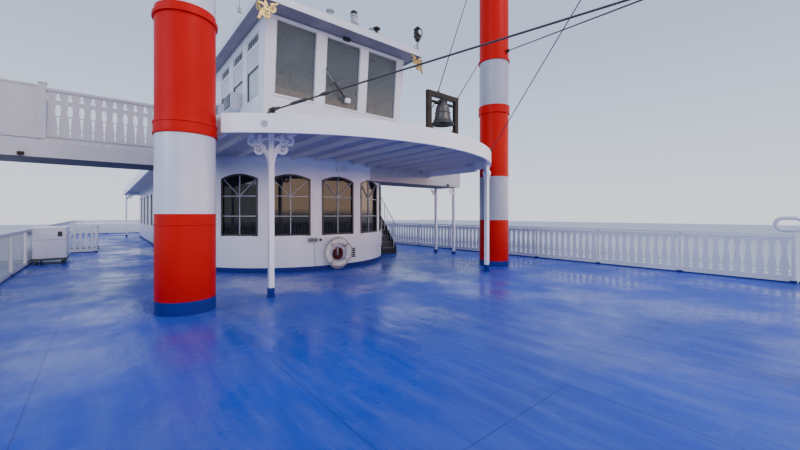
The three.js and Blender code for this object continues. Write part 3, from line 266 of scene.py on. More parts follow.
class Nodes(Tree):
    """A new material's nodes, whose textures lie in the model's metres."""

    def __init__(self, name):
        self.material = bpy.data.materials.new(name)
        self.material.use_nodes = True
        super().__init__(self.material.node_tree)
        self.shader = self.tree.nodes["Principled BSDF"]
        self.place = self.new("ShaderNodeTexCoord").outputs["Object"]

    def spread(self, scale):
        """The object's place, stretched by a scale for each axis."""
        node = self.new("ShaderNodeMapping", Vector=self.place)
        node.inputs["Scale"].default_value = scale
        return node.outputs["Vector"]

    def noise(self, scale, detail=3.0, place=None, rough=0.5):
        node = self.new("ShaderNodeTexNoise", Vector=place or self.place, Scale=scale, Detail=detail,
                        Roughness=rough)
        return node.outputs["Fac"]

    def plates(self, width, height, **inputs):
        """Where the seams lie between staggered plates."""
        node = self.new("ShaderNodeTexBrick", Vector=self.place, Scale=1.0, Brick_Width=width,
                        Row_Height=height, Mortar_Size=0.004, **inputs)
        return node.outputs["Fac"]

    def axis(self, name, vector=None):
        return self.new("ShaderNodeSeparateXYZ", Vector=vector or self.place).outputs[name]

    def bump(self, height, strength, distance):
        node = self.new("ShaderNodeBump", Strength=strength, Distance=distance, Height=height)
        self.tree.links.new(node.outputs["Normal"], self.shader.inputs["Normal"])

    def finish(self, colour, roughness, **constants):
        self.set(self.shader.inputs["Base Color"], (*colour, 1) if isinstance(colour, tuple) else colour)
        self.set(self.shader.inputs["Roughness"], roughness)
        for key, value in constants.items():
            self.shader.inputs[key.replace("_", " ")].default_value = value
        return self.material


def painted(name, colour, worn, gloss=0.35, grain=(1, 1, 1), relief=0.25, streak=0.35, coat=0.0,
            shine=0.5):
    """Brushed paint with faint patches, runs down its upright faces, and a fine relief."""
    n = Nodes(name)
    patches = n.ramp(n.noise(2.6, 4), [(0.35, 0.0), (0.75, 1.0)])
    runs = n.ramp(n.noise(9.0, 3, n.spread((2.2, 2.2, 0.22))), [(0.5, 0.0), (0.78, 1.0)])
    marks = n.math("MAXIMUM", n.math("MULTIPLY", patches, 0.55), n.math("MULTIPLY", runs, streak))
    fine = n.noise(160.0, 3, n.spread(grain))
    speck = n.ramp(n.noise(55.0, 2), [(0.68, 0.0), (0.74, 0.35)])
    base = n.mix(n.math("MAXIMUM", marks, speck), colour, worn)
    rough = n.math("ADD", n.math("MULTIPLY", patches, 0.16), gloss)
    n.bump(n.math("ADD", fine, n.math("MULTIPLY", n.noise(6.0, 2), 1.6)), relief, 0.002)
    return n.finish(base, rough, Coat_Weight=coat, Coat_Roughness=0.12, Specular_IOR_Level=shine)


def deck_material():
    """Thick glossy deck paint: broad patches, roller lines, scuffs, plate seams and pale dried salt."""
    n = Nodes("deck_blue")
    broad = n.noise(0.8, 5, None, 0.6)
    rolled = n.noise(5.0, 5, n.spread((0.35, 2.4, 1)), 0.65)
    base = n.mix(n.ramp(broad, [(0.35, 0.0), (0.68, 1.0)]), (0.009, 0.060, 0.54), (0.026, 0.066, 0.40))
    base = n.mix(n.ramp(rolled, [(0.42, 0.0), (0.74, 0.85)]), base, (0.070, 0.125, 0.50))
    scuffs = n.noise(26.0, 4, n.spread((0.12, 1.0, 1)), 0.6)
    crossed = n.noise(19.0, 4, n.spread((1.0, 0.16, 1)), 0.6)
    scratches = n.math("MAXIMUM", n.ramp(scuffs, [(0.64, 0.0), (0.76, 0.35)]),
                       n.ramp(crossed, [(0.66, 0.0), (0.76, 0.30)]))
    base = n.mix(scratches, base, (0.14, 0.21, 0.60))
    salt = n.ramp(n.noise(3.3, 6, None, 0.75), [(0.60, 0.0), (0.76, 0.18)])
    base = n.mix(salt, base, (0.30, 0.36, 0.62))
    seams = n.plates(2.4, 0.9, Mortar_Smooth=0.3)
    base = n.mix(n.math("MULTIPLY", seams, 0.5), base, (0.008, 0.03, 0.22))
    normal_z = n.axis("Z", n.new("ShaderNodeNewGeometry").outputs["Normal"])
    top = n.ramp(normal_z, [(0.4, 0.0), (0.6, 1.0)])
    under = n.ramp(normal_z, [(0.2, 1.0), (0.25, 0.0)])
    edge = n.mix(under, (0.60, 0.61, 0.66), (0.35, 0.38, 0.52))
    base = n.mix(top, edge, base)
    ripple = n.noise(4.2, 4, n.spread((0.7, 1.6, 1)), 0.55)
    wet = n.ramp(n.noise(1.3, 4, None, 0.6), [(0.38, 0.17), (0.62, 0.55)])
    height = n.math("ADD", n.math("MULTIPLY", ripple, 3.0), n.math("MULTIPLY", n.noise(60, 3), 0.25))
    n.bump(n.math("SUBTRACT", height, n.math("MULTIPLY", seams, 0.5)), 0.32, 0.006)
    return n.finish(base, wet, Coat_Weight=0.06, Coat_Roughness=0.12, Specular_IOR_Level=0.28)


def hull_material():
    """Navy topsides with a white line, and weathered red below the waterline."""
    n = Nodes("hull_navy")
    z = n.axis("Z")
    wave = n.math("MULTIPLY", n.noise(5.0, 3), 0.02)
    level = n.math("ADD", z, wave)
    weather = n.ramp(n.noise(3.0, 5), [(0.35, 0.0), (0.75, 1.0)])
    runs = n.ramp(n.noise(7.0, 3, n.spread((2.0, 2.0, 0.2))), [(0.5, 0.0), (0.8, 0.6)])
    navy = n.mix(n.math("MAXIMUM", weather, runs), (0.012, 0.022, 0.13), (0.05, 0.07, 0.20))
    red = n.mix(weather, (0.23, 0.03, 0.02), (0.30, 0.10, 0.07))
    base = n.mix(n.ramp(level, [(0.735, 0.0), (0.742, 1.0)]), red, navy)
    line = n.ramp(level, [(0.755, 0.0), (0.76, 1.0), (0.80, 1.0), (0.805, 0.0)])
    base = n.mix(line, base, (0.72, 0.73, 0.75))
    n.bump(n.math("SUBTRACT", n.noise(40, 3), n.plates(1.5, 0.6)), 0.25, 0.003)
    return n.finish(base, n.math("ADD", n.math("MULTIPLY", weather, 0.25), 0.28))


def metal(name, colour, worn, rough, metallic, scale=18.0, relief=0.3):
    """Cast or rolled metal with patina patches and a sandy relief."""
    n = Nodes(name)
    patina = n.ramp(n.noise(scale, 5, None, 0.62), [(0.4, 0.0), (0.68, 1.0)])
    fine = n.noise(scale * 9, 4)
    n.bump(n.math("ADD", fine, patina), relief, 0.0015)
    roughness = n.math("ADD", n.math("MULTIPLY", patina, 0.2), rough)
    return n.finish(n.mix(patina, colour, worn), roughness, Metallic=metallic)


def glass(name, colour, alpha, smear):
    """Window glass with faint smears; the lower its alpha, the more of the inside shows."""
    n = Nodes(name)
    dust = n.ramp(n.noise(5.0, 5, n.spread((1, 1, 0.5)), 0.7), [(0.45, 0.0), (0.8, 1.0)])
    base = n.mix(n.math("MULTIPLY", dust, smear), colour, (0.35, 0.37, 0.39))
    n.bump(n.noise(2.5, 2), 0.05, 0.004)
    return n.finish(base, n.math("ADD", n.math("MULTIPLY", dust, 0.1), 0.02), Alpha=alpha, IOR=1.38)


def wood(name, colour, dark, gloss, coat):
    """Varnished wood: long grain with rings, and pores in the relief."""
    n = Nodes(name)
    grain = n.noise(14.0, 5, n.spread((3.0, 3.0, 0.35)), 0.6)
    wave = n.new("ShaderNodeTexWave", Vector=n.spread((6.0, 6.0, 0.6)), Scale=3.0, Distortion=6.0,
                 Detail=3.0)
    share = n.math("MULTIPLY", n.math("ADD", grain, wave.outputs["Fac"]), 0.5)
    n.bump(grain, 0.2, 0.001)
    return n.finish(n.mix(n.ramp(share, [(0.3, 0.0), (0.7, 1.0)]), colour, dark), gloss,
                    Coat_Weight=coat, Coat_Roughness=0.1)


def rope_material(name, colour, dark):
    """Laid rope: slanting strands in colour and relief."""
    n = Nodes(name)
    wave = n.new("ShaderNodeTexWave", Vector=n.place, Scale=60.0, Distortion=1.5, Detail=2.0)
    wave.bands_direction = "DIAGONAL"
    n.bump(wave.outputs["Fac"], 0.7, 0.003)
    return n.finish(n.mix(n.math("MULTIPLY", wave.outputs["Fac"], n.noise(12, 3)), colour, dark), 0.85)


def plastic(name, colour, worn, rough):
    """Moulded plastic with a fine pebble and a little grime."""
    n = Nodes(name)
    grime = n.ramp(n.noise(7.0, 5, None, 0.7), [(0.48, 0.0), (0.78, 0.8)])
    n.bump(n.noise(260.0, 2), 0.12, 0.0008)
    return n.finish(n.mix(grime, colour, worn), n.math("ADD", n.math("MULTIPLY", grime, 0.2), rough))


WHITE = (0.69, 0.715, 0.83)
WORN_WHITE = (0.58, 0.59, 0.67)
PAINTS = {
    "white": painted("white_gloss", WHITE, WORN_WHITE, 0.28, relief=0.18, coat=0.2),
    "rail": painted("rail_white", (0.72, 0.73, 0.78), (0.55, 0.57, 0.62), 0.35, (1, 1, 0.12), 0.3, 0.5),
    "roof_top": painted("roof_white", (0.64, 0.65, 0.70), (0.50, 0.51, 0.56), 0.5, relief=0.4),
    # cabin: a brighter copy of the white paint, painted light for the shaded cabin walls, fascia, posts and
    # scrolls under the roof
    "cabin": painted("cabin_white_painted_light", (0.93, 0.94, 1.0), (0.80, 0.81, 0.88), 0.3, relief=0.18, coat=0.1),
    # soffit: the white paint darkened, painted shade under the roofs
    "soffit": painted("soffit_painted_shade", (0.66, 0.60, 0.56), (0.54, 0.49, 0.46), 0.4, (1, 0.1, 1), 0.3, 0.1),
    # wing: a darker copy of the white paint, painted shade on the bridge wings' fascia, boxes and
    # balustrades
    "wing": painted("wing_white_painted_shade", (0.48, 0.49, 0.55), (0.39, 0.395, 0.45), 0.35, relief=0.2),
    "wing_under": painted("wing_shade", (0.07, 0.065, 0.075), (0.10, 0.095, 0.11), 0.5, relief=0.2),
    # eave: dark grey for the pilothouse roof's white eave, painted shade under its roof
    "eave": painted("eave_painted_shade", (0.24, 0.22, 0.30), (0.18, 0.17, 0.24), 0.45, relief=0.2),
    "joist": painted("joist_pale", (0.86, 0.80, 0.76), (0.74, 0.68, 0.64), 0.4, (0.1, 1, 1), 0.3, 0.1),
    "panel": painted("pale_panel", (0.52, 0.55, 0.60), (0.42, 0.45, 0.50), 0.3, relief=0.2),
    "bar": painted("glazing_bar_grey", (0.46, 0.47, 0.52), (0.34, 0.35, 0.40), 0.4),
    "deck": deck_material(),
    "navy": painted("navy_trim", (0.002, 0.012, 0.19), (0.010, 0.028, 0.26), 0.35, relief=0.2, shine=0.25),
    "red": painted("stack_red", (0.55, 0.001, 0.001), (0.42, 0.004, 0.004), 0.34, relief=0.14, streak=0.5,
                   shine=0.12),
    # a darker copy of the stack white for the port stack's band: painted shade
    "hazed_white": painted("stack_painted_shade_white", (0.40, 0.41, 0.50), (0.33, 0.34, 0.42), 0.3, relief=0.14),
    "stack_white": painted("stack_white", (0.60, 0.63, 0.76), (0.50, 0.53, 0.65), 0.25, relief=0.14,
                           coat=0.3),
    "wheel_red": painted("wheel_red", (0.42, 0.030, 0.020), (0.22, 0.035, 0.025), 0.45, (1, 0.1, 1), 0.6,
                         0.7),
    "hull": hull_material(),
    "black": painted("frame_black", (0.012, 0.011, 0.012), (0.035, 0.033, 0.034), 0.30, relief=0.15),
    "iron": metal("black_iron", (0.018, 0.016, 0.015), (0.05, 0.035, 0.025), 0.42, 0.6),
    "bronze": metal("bell_bronze", (0.120, 0.112, 0.105), (0.085, 0.080, 0.078), 0.36, 0.8, 9.0, 0.12),
    "steel": metal("galvanised_steel", (0.36, 0.38, 0.40), (0.22, 0.23, 0.24), 0.34, 0.85, 30.0),
    "wire": metal("stay_wire", (0.06, 0.06, 0.065), (0.13, 0.11, 0.10), 0.45, 0.7, 60.0),
    "stair": metal("stair_steel", (0.035, 0.038, 0.05), (0.10, 0.10, 0.12), 0.40, 0.4, 25.0),
    "gold": metal("gilded_iron", (0.62, 0.43, 0.14), (0.36, 0.24, 0.10), 0.28, 0.75, 40.0),
    "engine": metal("engine_green", (0.07, 0.13, 0.09), (0.035, 0.06, 0.045), 0.5, 0.3),
    # window: an opaque near-black pane, painted shade of the unlit rooms behind the glass
    "window": glass("cabin_glass_painted_shade", (0.006, 0.007, 0.010), 1.0, 0.04),
    # pilot_glass: half-clear, its grey-blue film is painted reflection of the sky on the pilothouse glass
    "pilot_glass": glass("pilothouse_glass_painted_reflection", (0.15, 0.18, 0.20), 0.42, 0.2),
    # pale_glass: a nearly opaque pale pane, painted sky reflection on the pilothouse's lower sashes
    "pale_glass": glass("side_glass_painted_reflection", (0.50, 0.56, 0.60), 0.9, 0.3),
    "clear_sheet": glass("clear_sheet", (0.42, 0.47, 0.48), 0.55, 0.5),
    "wood": wood("varnished_wood", (0.26, 0.115, 0.045), (0.12, 0.05, 0.02), 0.32, 0.4),
    "counter": wood("counter_wood", (0.42, 0.21, 0.10), (0.28, 0.13, 0.06), 0.35, 0.3),
    "ring": plastic("ring_plastic", (0.84, 0.80, 0.74), (0.55, 0.49, 0.42), 0.42),
    "grey_plastic": plastic("grey_plastic", (0.40, 0.42, 0.46), (0.26, 0.27, 0.30), 0.45),
    "black_plastic": plastic("black_plastic", (0.015, 0.016, 0.018), (0.04, 0.04, 0.045), 0.4),
    "lamp": plastic("lamp_lens", (0.55, 0.57, 0.60), (0.40, 0.42, 0.44), 0.15),
    "rope": rope_material("white_rope", (0.52, 0.50, 0.46), (0.30, 0.28, 0.25)),
    "dark_rope": rope_material("dark_rope", (0.14, 0.010, 0.010), (0.03, 0.006, 0.006)),
    "rubber": plastic("black_rubber", (0.012, 0.012, 0.013), (0.035, 0.034, 0.033), 0.7),
}

SLOT_PAINT = {
    "hull_paint": "hull", "deck_paint": "deck", "white_paint": "white", "rail_paint": "rail",
    "stack_paint": "red", "wheel_paint": "wheel_red", "black_iron": "iron", "bell_bronze": "bronze",
    "ring_plastic": "ring", "stair_steel": "stair", "wire": "wire", "varnished_wood": "wood",
    "engine_iron": "engine",
}
for subpart in frame["record"]["subparts"]:
    node = frame["nodes"][subpart["node"]]
    node.data.materials.clear()
    node.data.materials.append(PAINTS[SLOT_PAINT[subpart["material_slot"]]])


# Plan of the upper decks, as in the model

def upper_front(grow, pieces=6):
    """The rounded front edge of an upper deck, from port to starboard."""
    front, corner_x = FRONT_X + grow, CORNER_X + grow * 0.6
    half = CORNER_HALF + grow * 0.85
    rise = front - corner_x
    radius = (half ** 2 + rise ** 2) / (2 * rise)
    spread = math.asin(half / radius)
    turns = [spread * (1 - 2 * i / pieces) for i in range(pieces + 1)]
    return [(front - radius + radius * math.cos(t), radius * math.sin(t)) for t in turns]


# Railings: sawn boards side by side, whose edges leave flute-shaped gaps between them

# height over the deck and half the gap's width
FLUTE = ((0.150, 0.006), (0.160, 0.040), (0.190, 0.042), (0.212, 0.012), (0.234, 0.010), (0.250, 0.036),
         (0.275, 0.038), (0.296, 0.008), (0.38, 0.017), (0.50, 0.034), (0.60, 0.046), (0.70, 0.052),
         (0.79, 0.050), (0.86, 0.036), (0.905, 0.018), (0.93, 0.004))
PLAIN_FLUTE = ((0.150, 0.006), (0.165, 0.040), (0.205, 0.026), (0.235, 0.010), (0.270, 0.038),
               (0.300, 0.008), (0.50, 0.034), (0.70, 0.052), (0.82, 0.046), (0.93, 0.004))
VASE = ((0.055, 0.003), (0.12, 0.007), (0.15, 0.016), (0.18, 0.008), (0.30, 0.014), (0.42, 0.028),
        (0.48, 0.037), (0.53, 0.042), (0.58, 0.041), (0.63, 0.033), (0.67, 0.019), (0.695, 0.0),
        (0.728, 0.0), (0.735, 0.040), (0.765, 0.044), (0.79, 0.018), (0.81, 0.030), (0.83, 0.022),
        (0.885, 0.002))
BOARD_PITCH = 0.185
VASE_PITCH = 0.172
BOARD_THICK = 0.03


def boards(shape, place, start, end, profile, paint="rail", pitch=BOARD_PITCH):
    """A row of sawn boards between two distances along an elevation."""
    count = max(1, round((end - start) / pitch))
    step = (end - start) / count
    right = [(step / 2 - gap * step / BOARD_PITCH, z) for z, gap in profile]
    outline = right + [(-x, z) for x, z in reversed(right)]
    unit = Shape()
    unit.prism(outline, -BOARD_THICK / 2, BOARD_THICK / 2, LEVEL, paint)
    for i in range(count):
        middle = Vector((start + (i + 0.5) * step, 0, 0))
        shape.add([place @ (p + middle) for p in unit.points], unit.faces, paint)


def rail_run(shape, start, end, z, profile=FLUTE, bay=2.0, ends=(True, True), clear=None):
    """One straight railing: posts on blue feet, kick board, sawn boards, band and cap rail."""
    length = math.dist(start, end)
    place = upright(*start, z, math.atan2(end[1] - start[1], end[0] - start[0]))
    bays = max(1, round(length / bay))
    step = length / bays
    shape.box((-0.03, length + 0.03), (RAIL_HEIGHT - 0.045, RAIL_HEIGHT), (-0.055, 0.055), "rail", place)
    for i in range(bays + 1):
        if (i == 0 and not ends[0]) or (i == bays and not ends[1]):
            continue
        x = i * step
        shape.box(about(x, 0.032), (0.05, RAIL_HEIGHT - 0.045), (-0.04, 0.04), "rail", place)
        shape.box(about(x, 0.055), (0.002, 0.055), (-0.06, 0.06), "navy", place)
    for i in range(bays):
        low, high = i * step + 0.032, (i + 1) * step - 0.032
        middle_x = place @ Vector(((low + high) / 2, 0, 0))
        if clear and clear[0] < middle_x.x < clear[1]:
            clear_panel(shape, place, low, high)
            continue
        shape.box((low, high), (0.03, profile[0][0] + 0.002), (-0.02, 0.02), "rail", place)
        shape.box((low, high), (profile[-1][0] - 0.002, RAIL_HEIGHT - 0.07), (-0.02, 0.02), "rail", place)
        boards(shape, place, low + 0.01, high - 0.01, profile)
        scallops(shape, place, low, high, 0.03)
    shape.box((0, length), (0.002, 0.03), (-0.035, 0.035), "navy", place)
    return place, step, bays


def clear_panel(shape, place, low, high):
    """A bay closed by a clear sheet in a slim frame instead of boards."""
    shape.box((low + 0.04, high - 0.04), (0.12, RAIL_HEIGHT - 0.1), (-0.006, 0.006), "clear_sheet", place)
    shape.box((low, high), (0.03, 0.085), (-0.012, 0.012), "rail", place)
    for y in ((0.08, 0.12), (RAIL_HEIGHT - 0.1, RAIL_HEIGHT - 0.06)):
        shape.box((low, high), y, (-0.016, 0.016), "rail", place)


def scallops(shape, place, low, high, top):
    """The half-round cuts under a kick board, as a strip of small tongues."""
    count = max(1, round((high - low) / BOARD_PITCH))
    step = (high - low) / count
    for i in range(count):
        x = low + (i + 0.5) * step
        half = step * 0.28
        tongue = [(x + half, top + 0.004), *circle(x, top, half, 0, -180, 4)[1:-1], (x - half, top + 0.004)]
        flat = [(px, max(py, 0.004)) for px, py in tongue]
        shape.prism(flat, -0.012, 0.012, place, "rail")


def colonnade(shape, place, step, bays, height, ends):
    """Slim posts from the railing to the deck above, with a header and sawn corner brackets."""
    length = step * bays
    shape.box((0, length), (height - 0.2, height - 0.001), (-0.028, 0.028), "rail", place)
    shape.box((0, length), (height - 0.235, height - 0.2), (-0.036, 0.036), "navy", place)
    corner = [(0, 0), (0.30, 0), *circle(0.30, -0.30, 0.27, 90, 180, 6), (0, -0.30)]
    for i in range(bays + 1):
        if (i == 0 and not ends[0]) or (i == bays and not ends[1]):
            continue
        x = i * step
        shape.box(about(x, 0.035), (RAIL_HEIGHT, height - 0.2), (-0.035, 0.035), "rail", place)
        for side in (-1, 1):
            if 0 <= x + side * 0.3 <= length:
                points = [(x + side * (0.03 + px), height - 0.235 + py) for px, py in corner]
                shape.prism(points, -0.012, 0.012, place, "rail")


def hand_loop(shape):
    """A long round loop of white tube on the cap rail where the port side meets the rounded bow."""
    x, y, z = SHOULDER_X - 0.14, THIRD_HALF - RAIL_INSET, THIRD_Z + RAIL_HEIGHT + 0.21
    ends = [*circle(0.08, 0, 0.135, -90, 90, 8), *circle(-0.08, 0, 0.135, 90, 270, 8)]
    shape.tube([(x + px, y, z + pz) for px, pz in ends], 0.042, "rail", 12, closed=True)
    for px in (-0.07, 0.07):
        shape.tube([(x + px, y, z - 0.22), (x + px, y, z - 0.12)], 0.02, "rail", 8)


CLEAR_BAYS = (3.3, 7.4)         # x of the starboard bays on the third deck that have clear sheets


def make_rails():
    """Boards of the railings round the second and the third deck."""
    levels = (("second", SECOND_Z, SECOND_STEP - RAIL_INSET, PLAIN_FLUTE),
              ("third", THIRD_Z, -RAIL_INSET, FLUTE))
    aft = TRANSOM_X + RAIL_INSET
    storey = THIRD_Z - DECK_THICK - SECOND_Z
    for level, z, grow, profile in levels:
        side_y = THIRD_HALF + grow
        half = side_y - 0.05
        corners = [(SHOULDER_X + 0.08, side_y), *upper_front(grow), (SHOULDER_X + 0.08, -side_y)]
        runs = [(f"{level}_rail_aft", [(aft, -half), (aft, half)], (True, True)),
                (f"{level}_rail_front", corners, (True, False))]
        for name, sign in SIDES:
            line = [(x, sign * side_y) for x in (aft + 0.09, SHOULDER_X - 0.08)]
            runs.append((f"{level}_rail_{name}", line, (True, True)))
        for name, points, ends in runs:
            shape = Shape()
            for i in range(1, len(points)):
                last = i == len(points) - 1
                own = (ends[0], ends[1] or last)
                clear = CLEAR_BAYS if name == "third_rail_starboard" else None
                place, step, bays = rail_run(shape, *points[i - 1:i + 1], z, profile, ends=own, clear=clear)
                if level == "second":
                    colonnade(shape, place, step, bays, storey, own)
            if name == "third_rail_port":
                hand_loop(shape)
            shape.make(f"{name}_boards", replaces=(name,))


MAIN_RAIL = {"y": 6.85, "aft": -18.0, "fore": 13.5}


def make_main_rails():
    """Boards of the main deck's side railings."""
    storey = SECOND_Z - DECK_THICK - MAIN_Z
    for name, sign in SIDES:
        shape = Shape()
        line = [(MAIN_RAIL[end], sign * MAIN_RAIL["y"]) for end in ("aft", "fore")]
        place, step, bays = rail_run(shape, *line, MAIN_Z, PLAIN_FLUTE)
        colonnade(shape, place, step, bays, storey, (True, True))
        shape.make(f"main_rail_{name}_boards", replaces=(f"main_rail_{name}",))


# Windows: a black frame, white glazing bars and a pane, standing in a hole of a wall

ARCH_RISE = 0.13


def window_outline(width, sill, head, rise, grow=0.0):
    """Outline of a window about its middle, with a flat arch where it has a rise."""
    half = width / 2 + grow
    low, high = sill - grow, head + grow
    if rise <= 0:
        return rect(-half, half, low, high)
    radius = (half ** 2 + rise ** 2) / (2 * rise)
    spread = math.degrees(math.asin(half / radius))
    return [(-half, low), (half, low), *circle(0, high - radius, radius, 90 - spread, 90 + spread, 8)]


def window(shape, place, width, sill, head, rise=0.0, depth=0.06, border=0.05, bars="rows", rim="black"):
    """A window in an elevation whose origin is under its middle, third axis outwards."""
    outer = window_outline(width, sill, head, rise)
    inner = window_outline(width, sill, head, rise, -border)
    shape.prism(outer, -depth, depth * 0.4, place, rim, [inner])
    pane = window_outline(width, sill, head, rise, -border * 0.6)
    # the pane is opaque and near-black: painted shade of the dark rooms behind it
    shape.prism(pane, -depth * 0.4, -depth * 0.2, place, "window")
    high = head - (rise if rise else border)
    low = sill + border
    half = width / 2 - border
    bar = 0.011
    face = (-depth * 0.25, depth * 0.12)
    if bars == "fan":
        shape.box((-bar, bar), (low, head - border * 0.9), face, "bar", place)
        levels = [sill + (head - sill) * share for share in (0.32, 0.64)]
        hub = levels[1]
        for side in (-1, 1):
            turn = math.atan2(high - hub, side * half)
            spoke = place @ at(0, hub, 0) @ Matrix.Rotation(turn, 4, "Z")
            shape.box((0, math.hypot(half, high - hub)), (-bar * 0.7, bar * 0.7), face, "bar", spoke)
    elif bars == "rows":
        shape.box((-bar, bar), (low, head - border), face, "bar", place)
        levels = [(low + high) / 2]
    else:
        levels = []
    for level in levels:
        shape.box((-half, half), about(level, bar), face, "bar", place)


def window_row(length, pitch, margin, skip=None):
    """Middles of evenly spaced windows along a wall, but for one near a door."""
    count = math.floor((length - 2 * margin) / pitch)
    middles = [length / 2 + (i - count / 2) * pitch for i in range(count + 1)]
    return [m for m in middles if skip is None or abs(m - skip) > 1.0]


def facing(sign):
    """Turn of an elevation on a wall's outer face, to port or to starboard."""
    return math.pi if sign > 0 else 0


WALL = 0.1
HOUSES = (
    {"name": "main_house", "front": 12.8, "aft": -15.5, "half": 5.4, "floor": MAIN_Z,
     "pitch": 2.7, "width": 1.0, "sill": 1.05, "head": 2.05},
    {"name": "second_house", "front": 13.3, "aft": -14.0, "half": 4.5, "floor": SECOND_Z,
     "pitch": 2.25, "width": 1.1, "sill": 0.8, "head": 2.15},
)


def trimmed_window(shape, place, house, rise=0.0, bars="rows"):
    """A house's window with a white casing and a sill board on the wall's face."""
    width, sill, head = house["width"], house["sill"], house["head"]
    window(shape, place, width, sill, head, rise, bars=bars)
    face = WALL / 2
    casing = window_outline(width, sill, head, rise, 0.07)
    shape.prism(casing, face, face + 0.02, place, "rail", [window_outline(width, sill, head, rise)])
    shape.box(about(0, width / 2 + 0.1), (sill - 0.1, sill - 0.05), (face, face + 0.05), "rail", place)


def make_house_windows():
    """Windows and navy base strips of the two lower houses."""
    for house in HOUSES:
        name, front, aft, half, floor = (house[key] for key in ("name", "front", "aft", "half", "floor"))
        length = front - aft - 2 * WALL
        for side, sign in SIDES:
            shape = Shape()
            for middle in window_row(length, house["pitch"], 1.2):
                place = upright(aft + WALL + middle, sign * (half - WALL / 2), floor, facing(sign))
                trimmed_window(shape, place, house)
            y = sign * half
            shape.box((aft, front), sorted((y, y + sign * 0.015)), (floor + 0.002, floor + 0.12), "navy")
            shape.make(f"{name}_windows_{side}")
        shape = Shape()
        across = window_row(2 * half, house["pitch"], 1.0, half)
        for x, turn in ((front - WALL / 2, math.pi / 2), (aft + WALL / 2, -math.pi / 2)):
            for middle in across:
                trimmed_window(shape, upright(x, middle - half, floor, turn), house)
        shape.make(f"{name}_windows_ends")


# Cabin: curved front wall with arched windows, navy base strip and straight sides

CABIN_WINDOW = {"width": 1.0, "sill": 0.94, "head": 2.54}
FRONT_TURNS = [place * 24.5 + 1.9 for place in (-3, -2, -1, 0, 1, 2, 3)]
WALL_TOP = 3.0095
SEAT = 0.0003                   # gap under a piece that rests on another
BASE_STRIP = 0.12


def arc_band(shape, start, end, outer, inner, low, high, paint, steps):
    """A piece of a curved wall between two angles; low and high are heights or functions of the angle."""
    level = [value if callable(value) else (lambda angle, v=value: v) for value in (low, high)]
    points = []
    for i in range(steps + 1):
        angle = start + (end - start) * i / steps
        way = Vector((math.cos(math.radians(angle)), math.sin(math.radians(angle)), 0))
        for radius in (outer, inner):
            for height in level:
                points.append(Vector((CABIN_X, 0, THIRD_Z + height(angle))) + way * radius)
    sides = []
    for i in range(steps):
        a, b = i * 4, i * 4 + 4
        sides.append((a, b, b + 1, a + 1))
        sides.append((a + 2, a + 3, b + 3, b + 2))
    shape.add(points, sides, paint, True)
    flats = [(0, 1, 3, 2), (steps * 4, steps * 4 + 2, steps * 4 + 3, steps * 4 + 1)]
    for i in range(steps):
        a, b = i * 4, i * 4 + 4
        flats += [(a + 1, b + 1, b + 3, a + 3), (a, a + 2, b + 2, b)]
    shape.add(points, flats, paint)


def make_cabin_front():
    """The cabin's curved wall, with its arched windows."""
    shape = Shape()
    outer, inner = CABIN_RADIUS, CABIN_RADIUS - WALL
    width, sill, head = (CABIN_WINDOW[key] for key in ("width", "sill", "head"))
    half = math.degrees(math.asin(width / 2 / CABIN_RADIUS))
    arch_radius = ((width / 2) ** 2 + ARCH_RISE ** 2) / (2 * ARCH_RISE)
    edges = [-90, *[turn + side * half for turn in FRONT_TURNS for side in (-1, 1)], 90]
    for start, end in zip(edges[::2], edges[1::2]):
        steps = max(2, round((end - start) / 2))
        arc_band(shape, start, end, outer, inner, SEAT, WALL_TOP, "cabin", steps)
    for turn in FRONT_TURNS:
        def arch(angle, middle=turn):
            across = CABIN_RADIUS * math.sin(math.radians(angle - middle))
            return head - arch_radius + math.sqrt(max(0, arch_radius ** 2 - across ** 2))
        arc_band(shape, turn - half, turn + half, outer, inner, SEAT, sill, "cabin", 10)
        arc_band(shape, turn - half, turn + half, outer, inner, arch, WALL_TOP, "cabin", 10)
        place = on_front(turn, 0, -0.05)
        window(shape, place, width + 0.01, sill - 0.005, head + 0.005, ARCH_RISE, 0.07, 0.045, "fan")
    arc_band(shape, -90, 90, outer + 0.012, outer - 0.005, 0.001, BASE_STRIP, "navy", 60)
    arc_band(shape, -90, 90, outer + 0.02, outer - 0.005, 2.90, 2.96, "cabin", 60)
    fittings_on_front(shape)
    shape.make("cabin_front", replaces=("cabin_front_wall",))


def on_front(turn, height, out=0.0):
    """Place of an elevation on the curved wall, at an angle in degrees and a height over the deck."""
    way = math.radians(turn)
    reach = CABIN_RADIUS + out
    return upright(CABIN_X + reach * math.cos(way), reach * math.sin(way), THIRD_Z + height,
                   way + math.pi / 2)


def fittings_on_front(shape):
    """Switch box, light box and a hook with a short coil on the wall between the windows."""
    switch = on_front(-12.3, 0.82)
    shape.box((-0.125, 0.125), (-0.065, 0.065), (0, 0.06), "grey_plastic", switch)
    for x in (-0.08, -0.025, 0.03, 0.085):
        shape.box(about(x, 0.014), (-0.035, 0.035), (0.06, 0.07), "black_plastic", switch)
    shape.box((0.19, 0.24), (-0.035, 0.035), (0, 0.05), "black_plastic", switch)
    cord = [(0.05, -0.06, 0.02), (0.05, -0.3, 0.02), (0.06, -0.5, 0.02), (0.06, -0.69, 0.02)]
    shape.tube([switch @ Vector(p) for p in cord], 0.008, "grey_plastic", 6)
    light = on_front(3.5, 2.745)
    shape.box((-0.165, 0.165), (-0.08, 0.08), (0, 0.07), "rail", light)
    shape.prism(rect(-0.165, 0.165, -0.08, 0.08), 0.07, 0.082, light, "cabin",
                [rect(-0.145, 0.145, -0.062, 0.062)])
    hook = on_front(11.0, 0.42)
    shape.box((-0.02, 0.02), (-0.15, 0.15), (0, 0.02), "rail", hook)
    turns = circle(0, 0, 1, steps=12)
    for i in range(5):
        z = -0.12 + i * 0.055
        loop = [hook @ Vector((0.045 * x, z + 0.014 * y, 0.05 + 0.02 * y)) for x, y in turns]
        shape.tube(loop, 0.011, "black_plastic", 6, closed=True)


CABIN_DOOR_X = 2.6


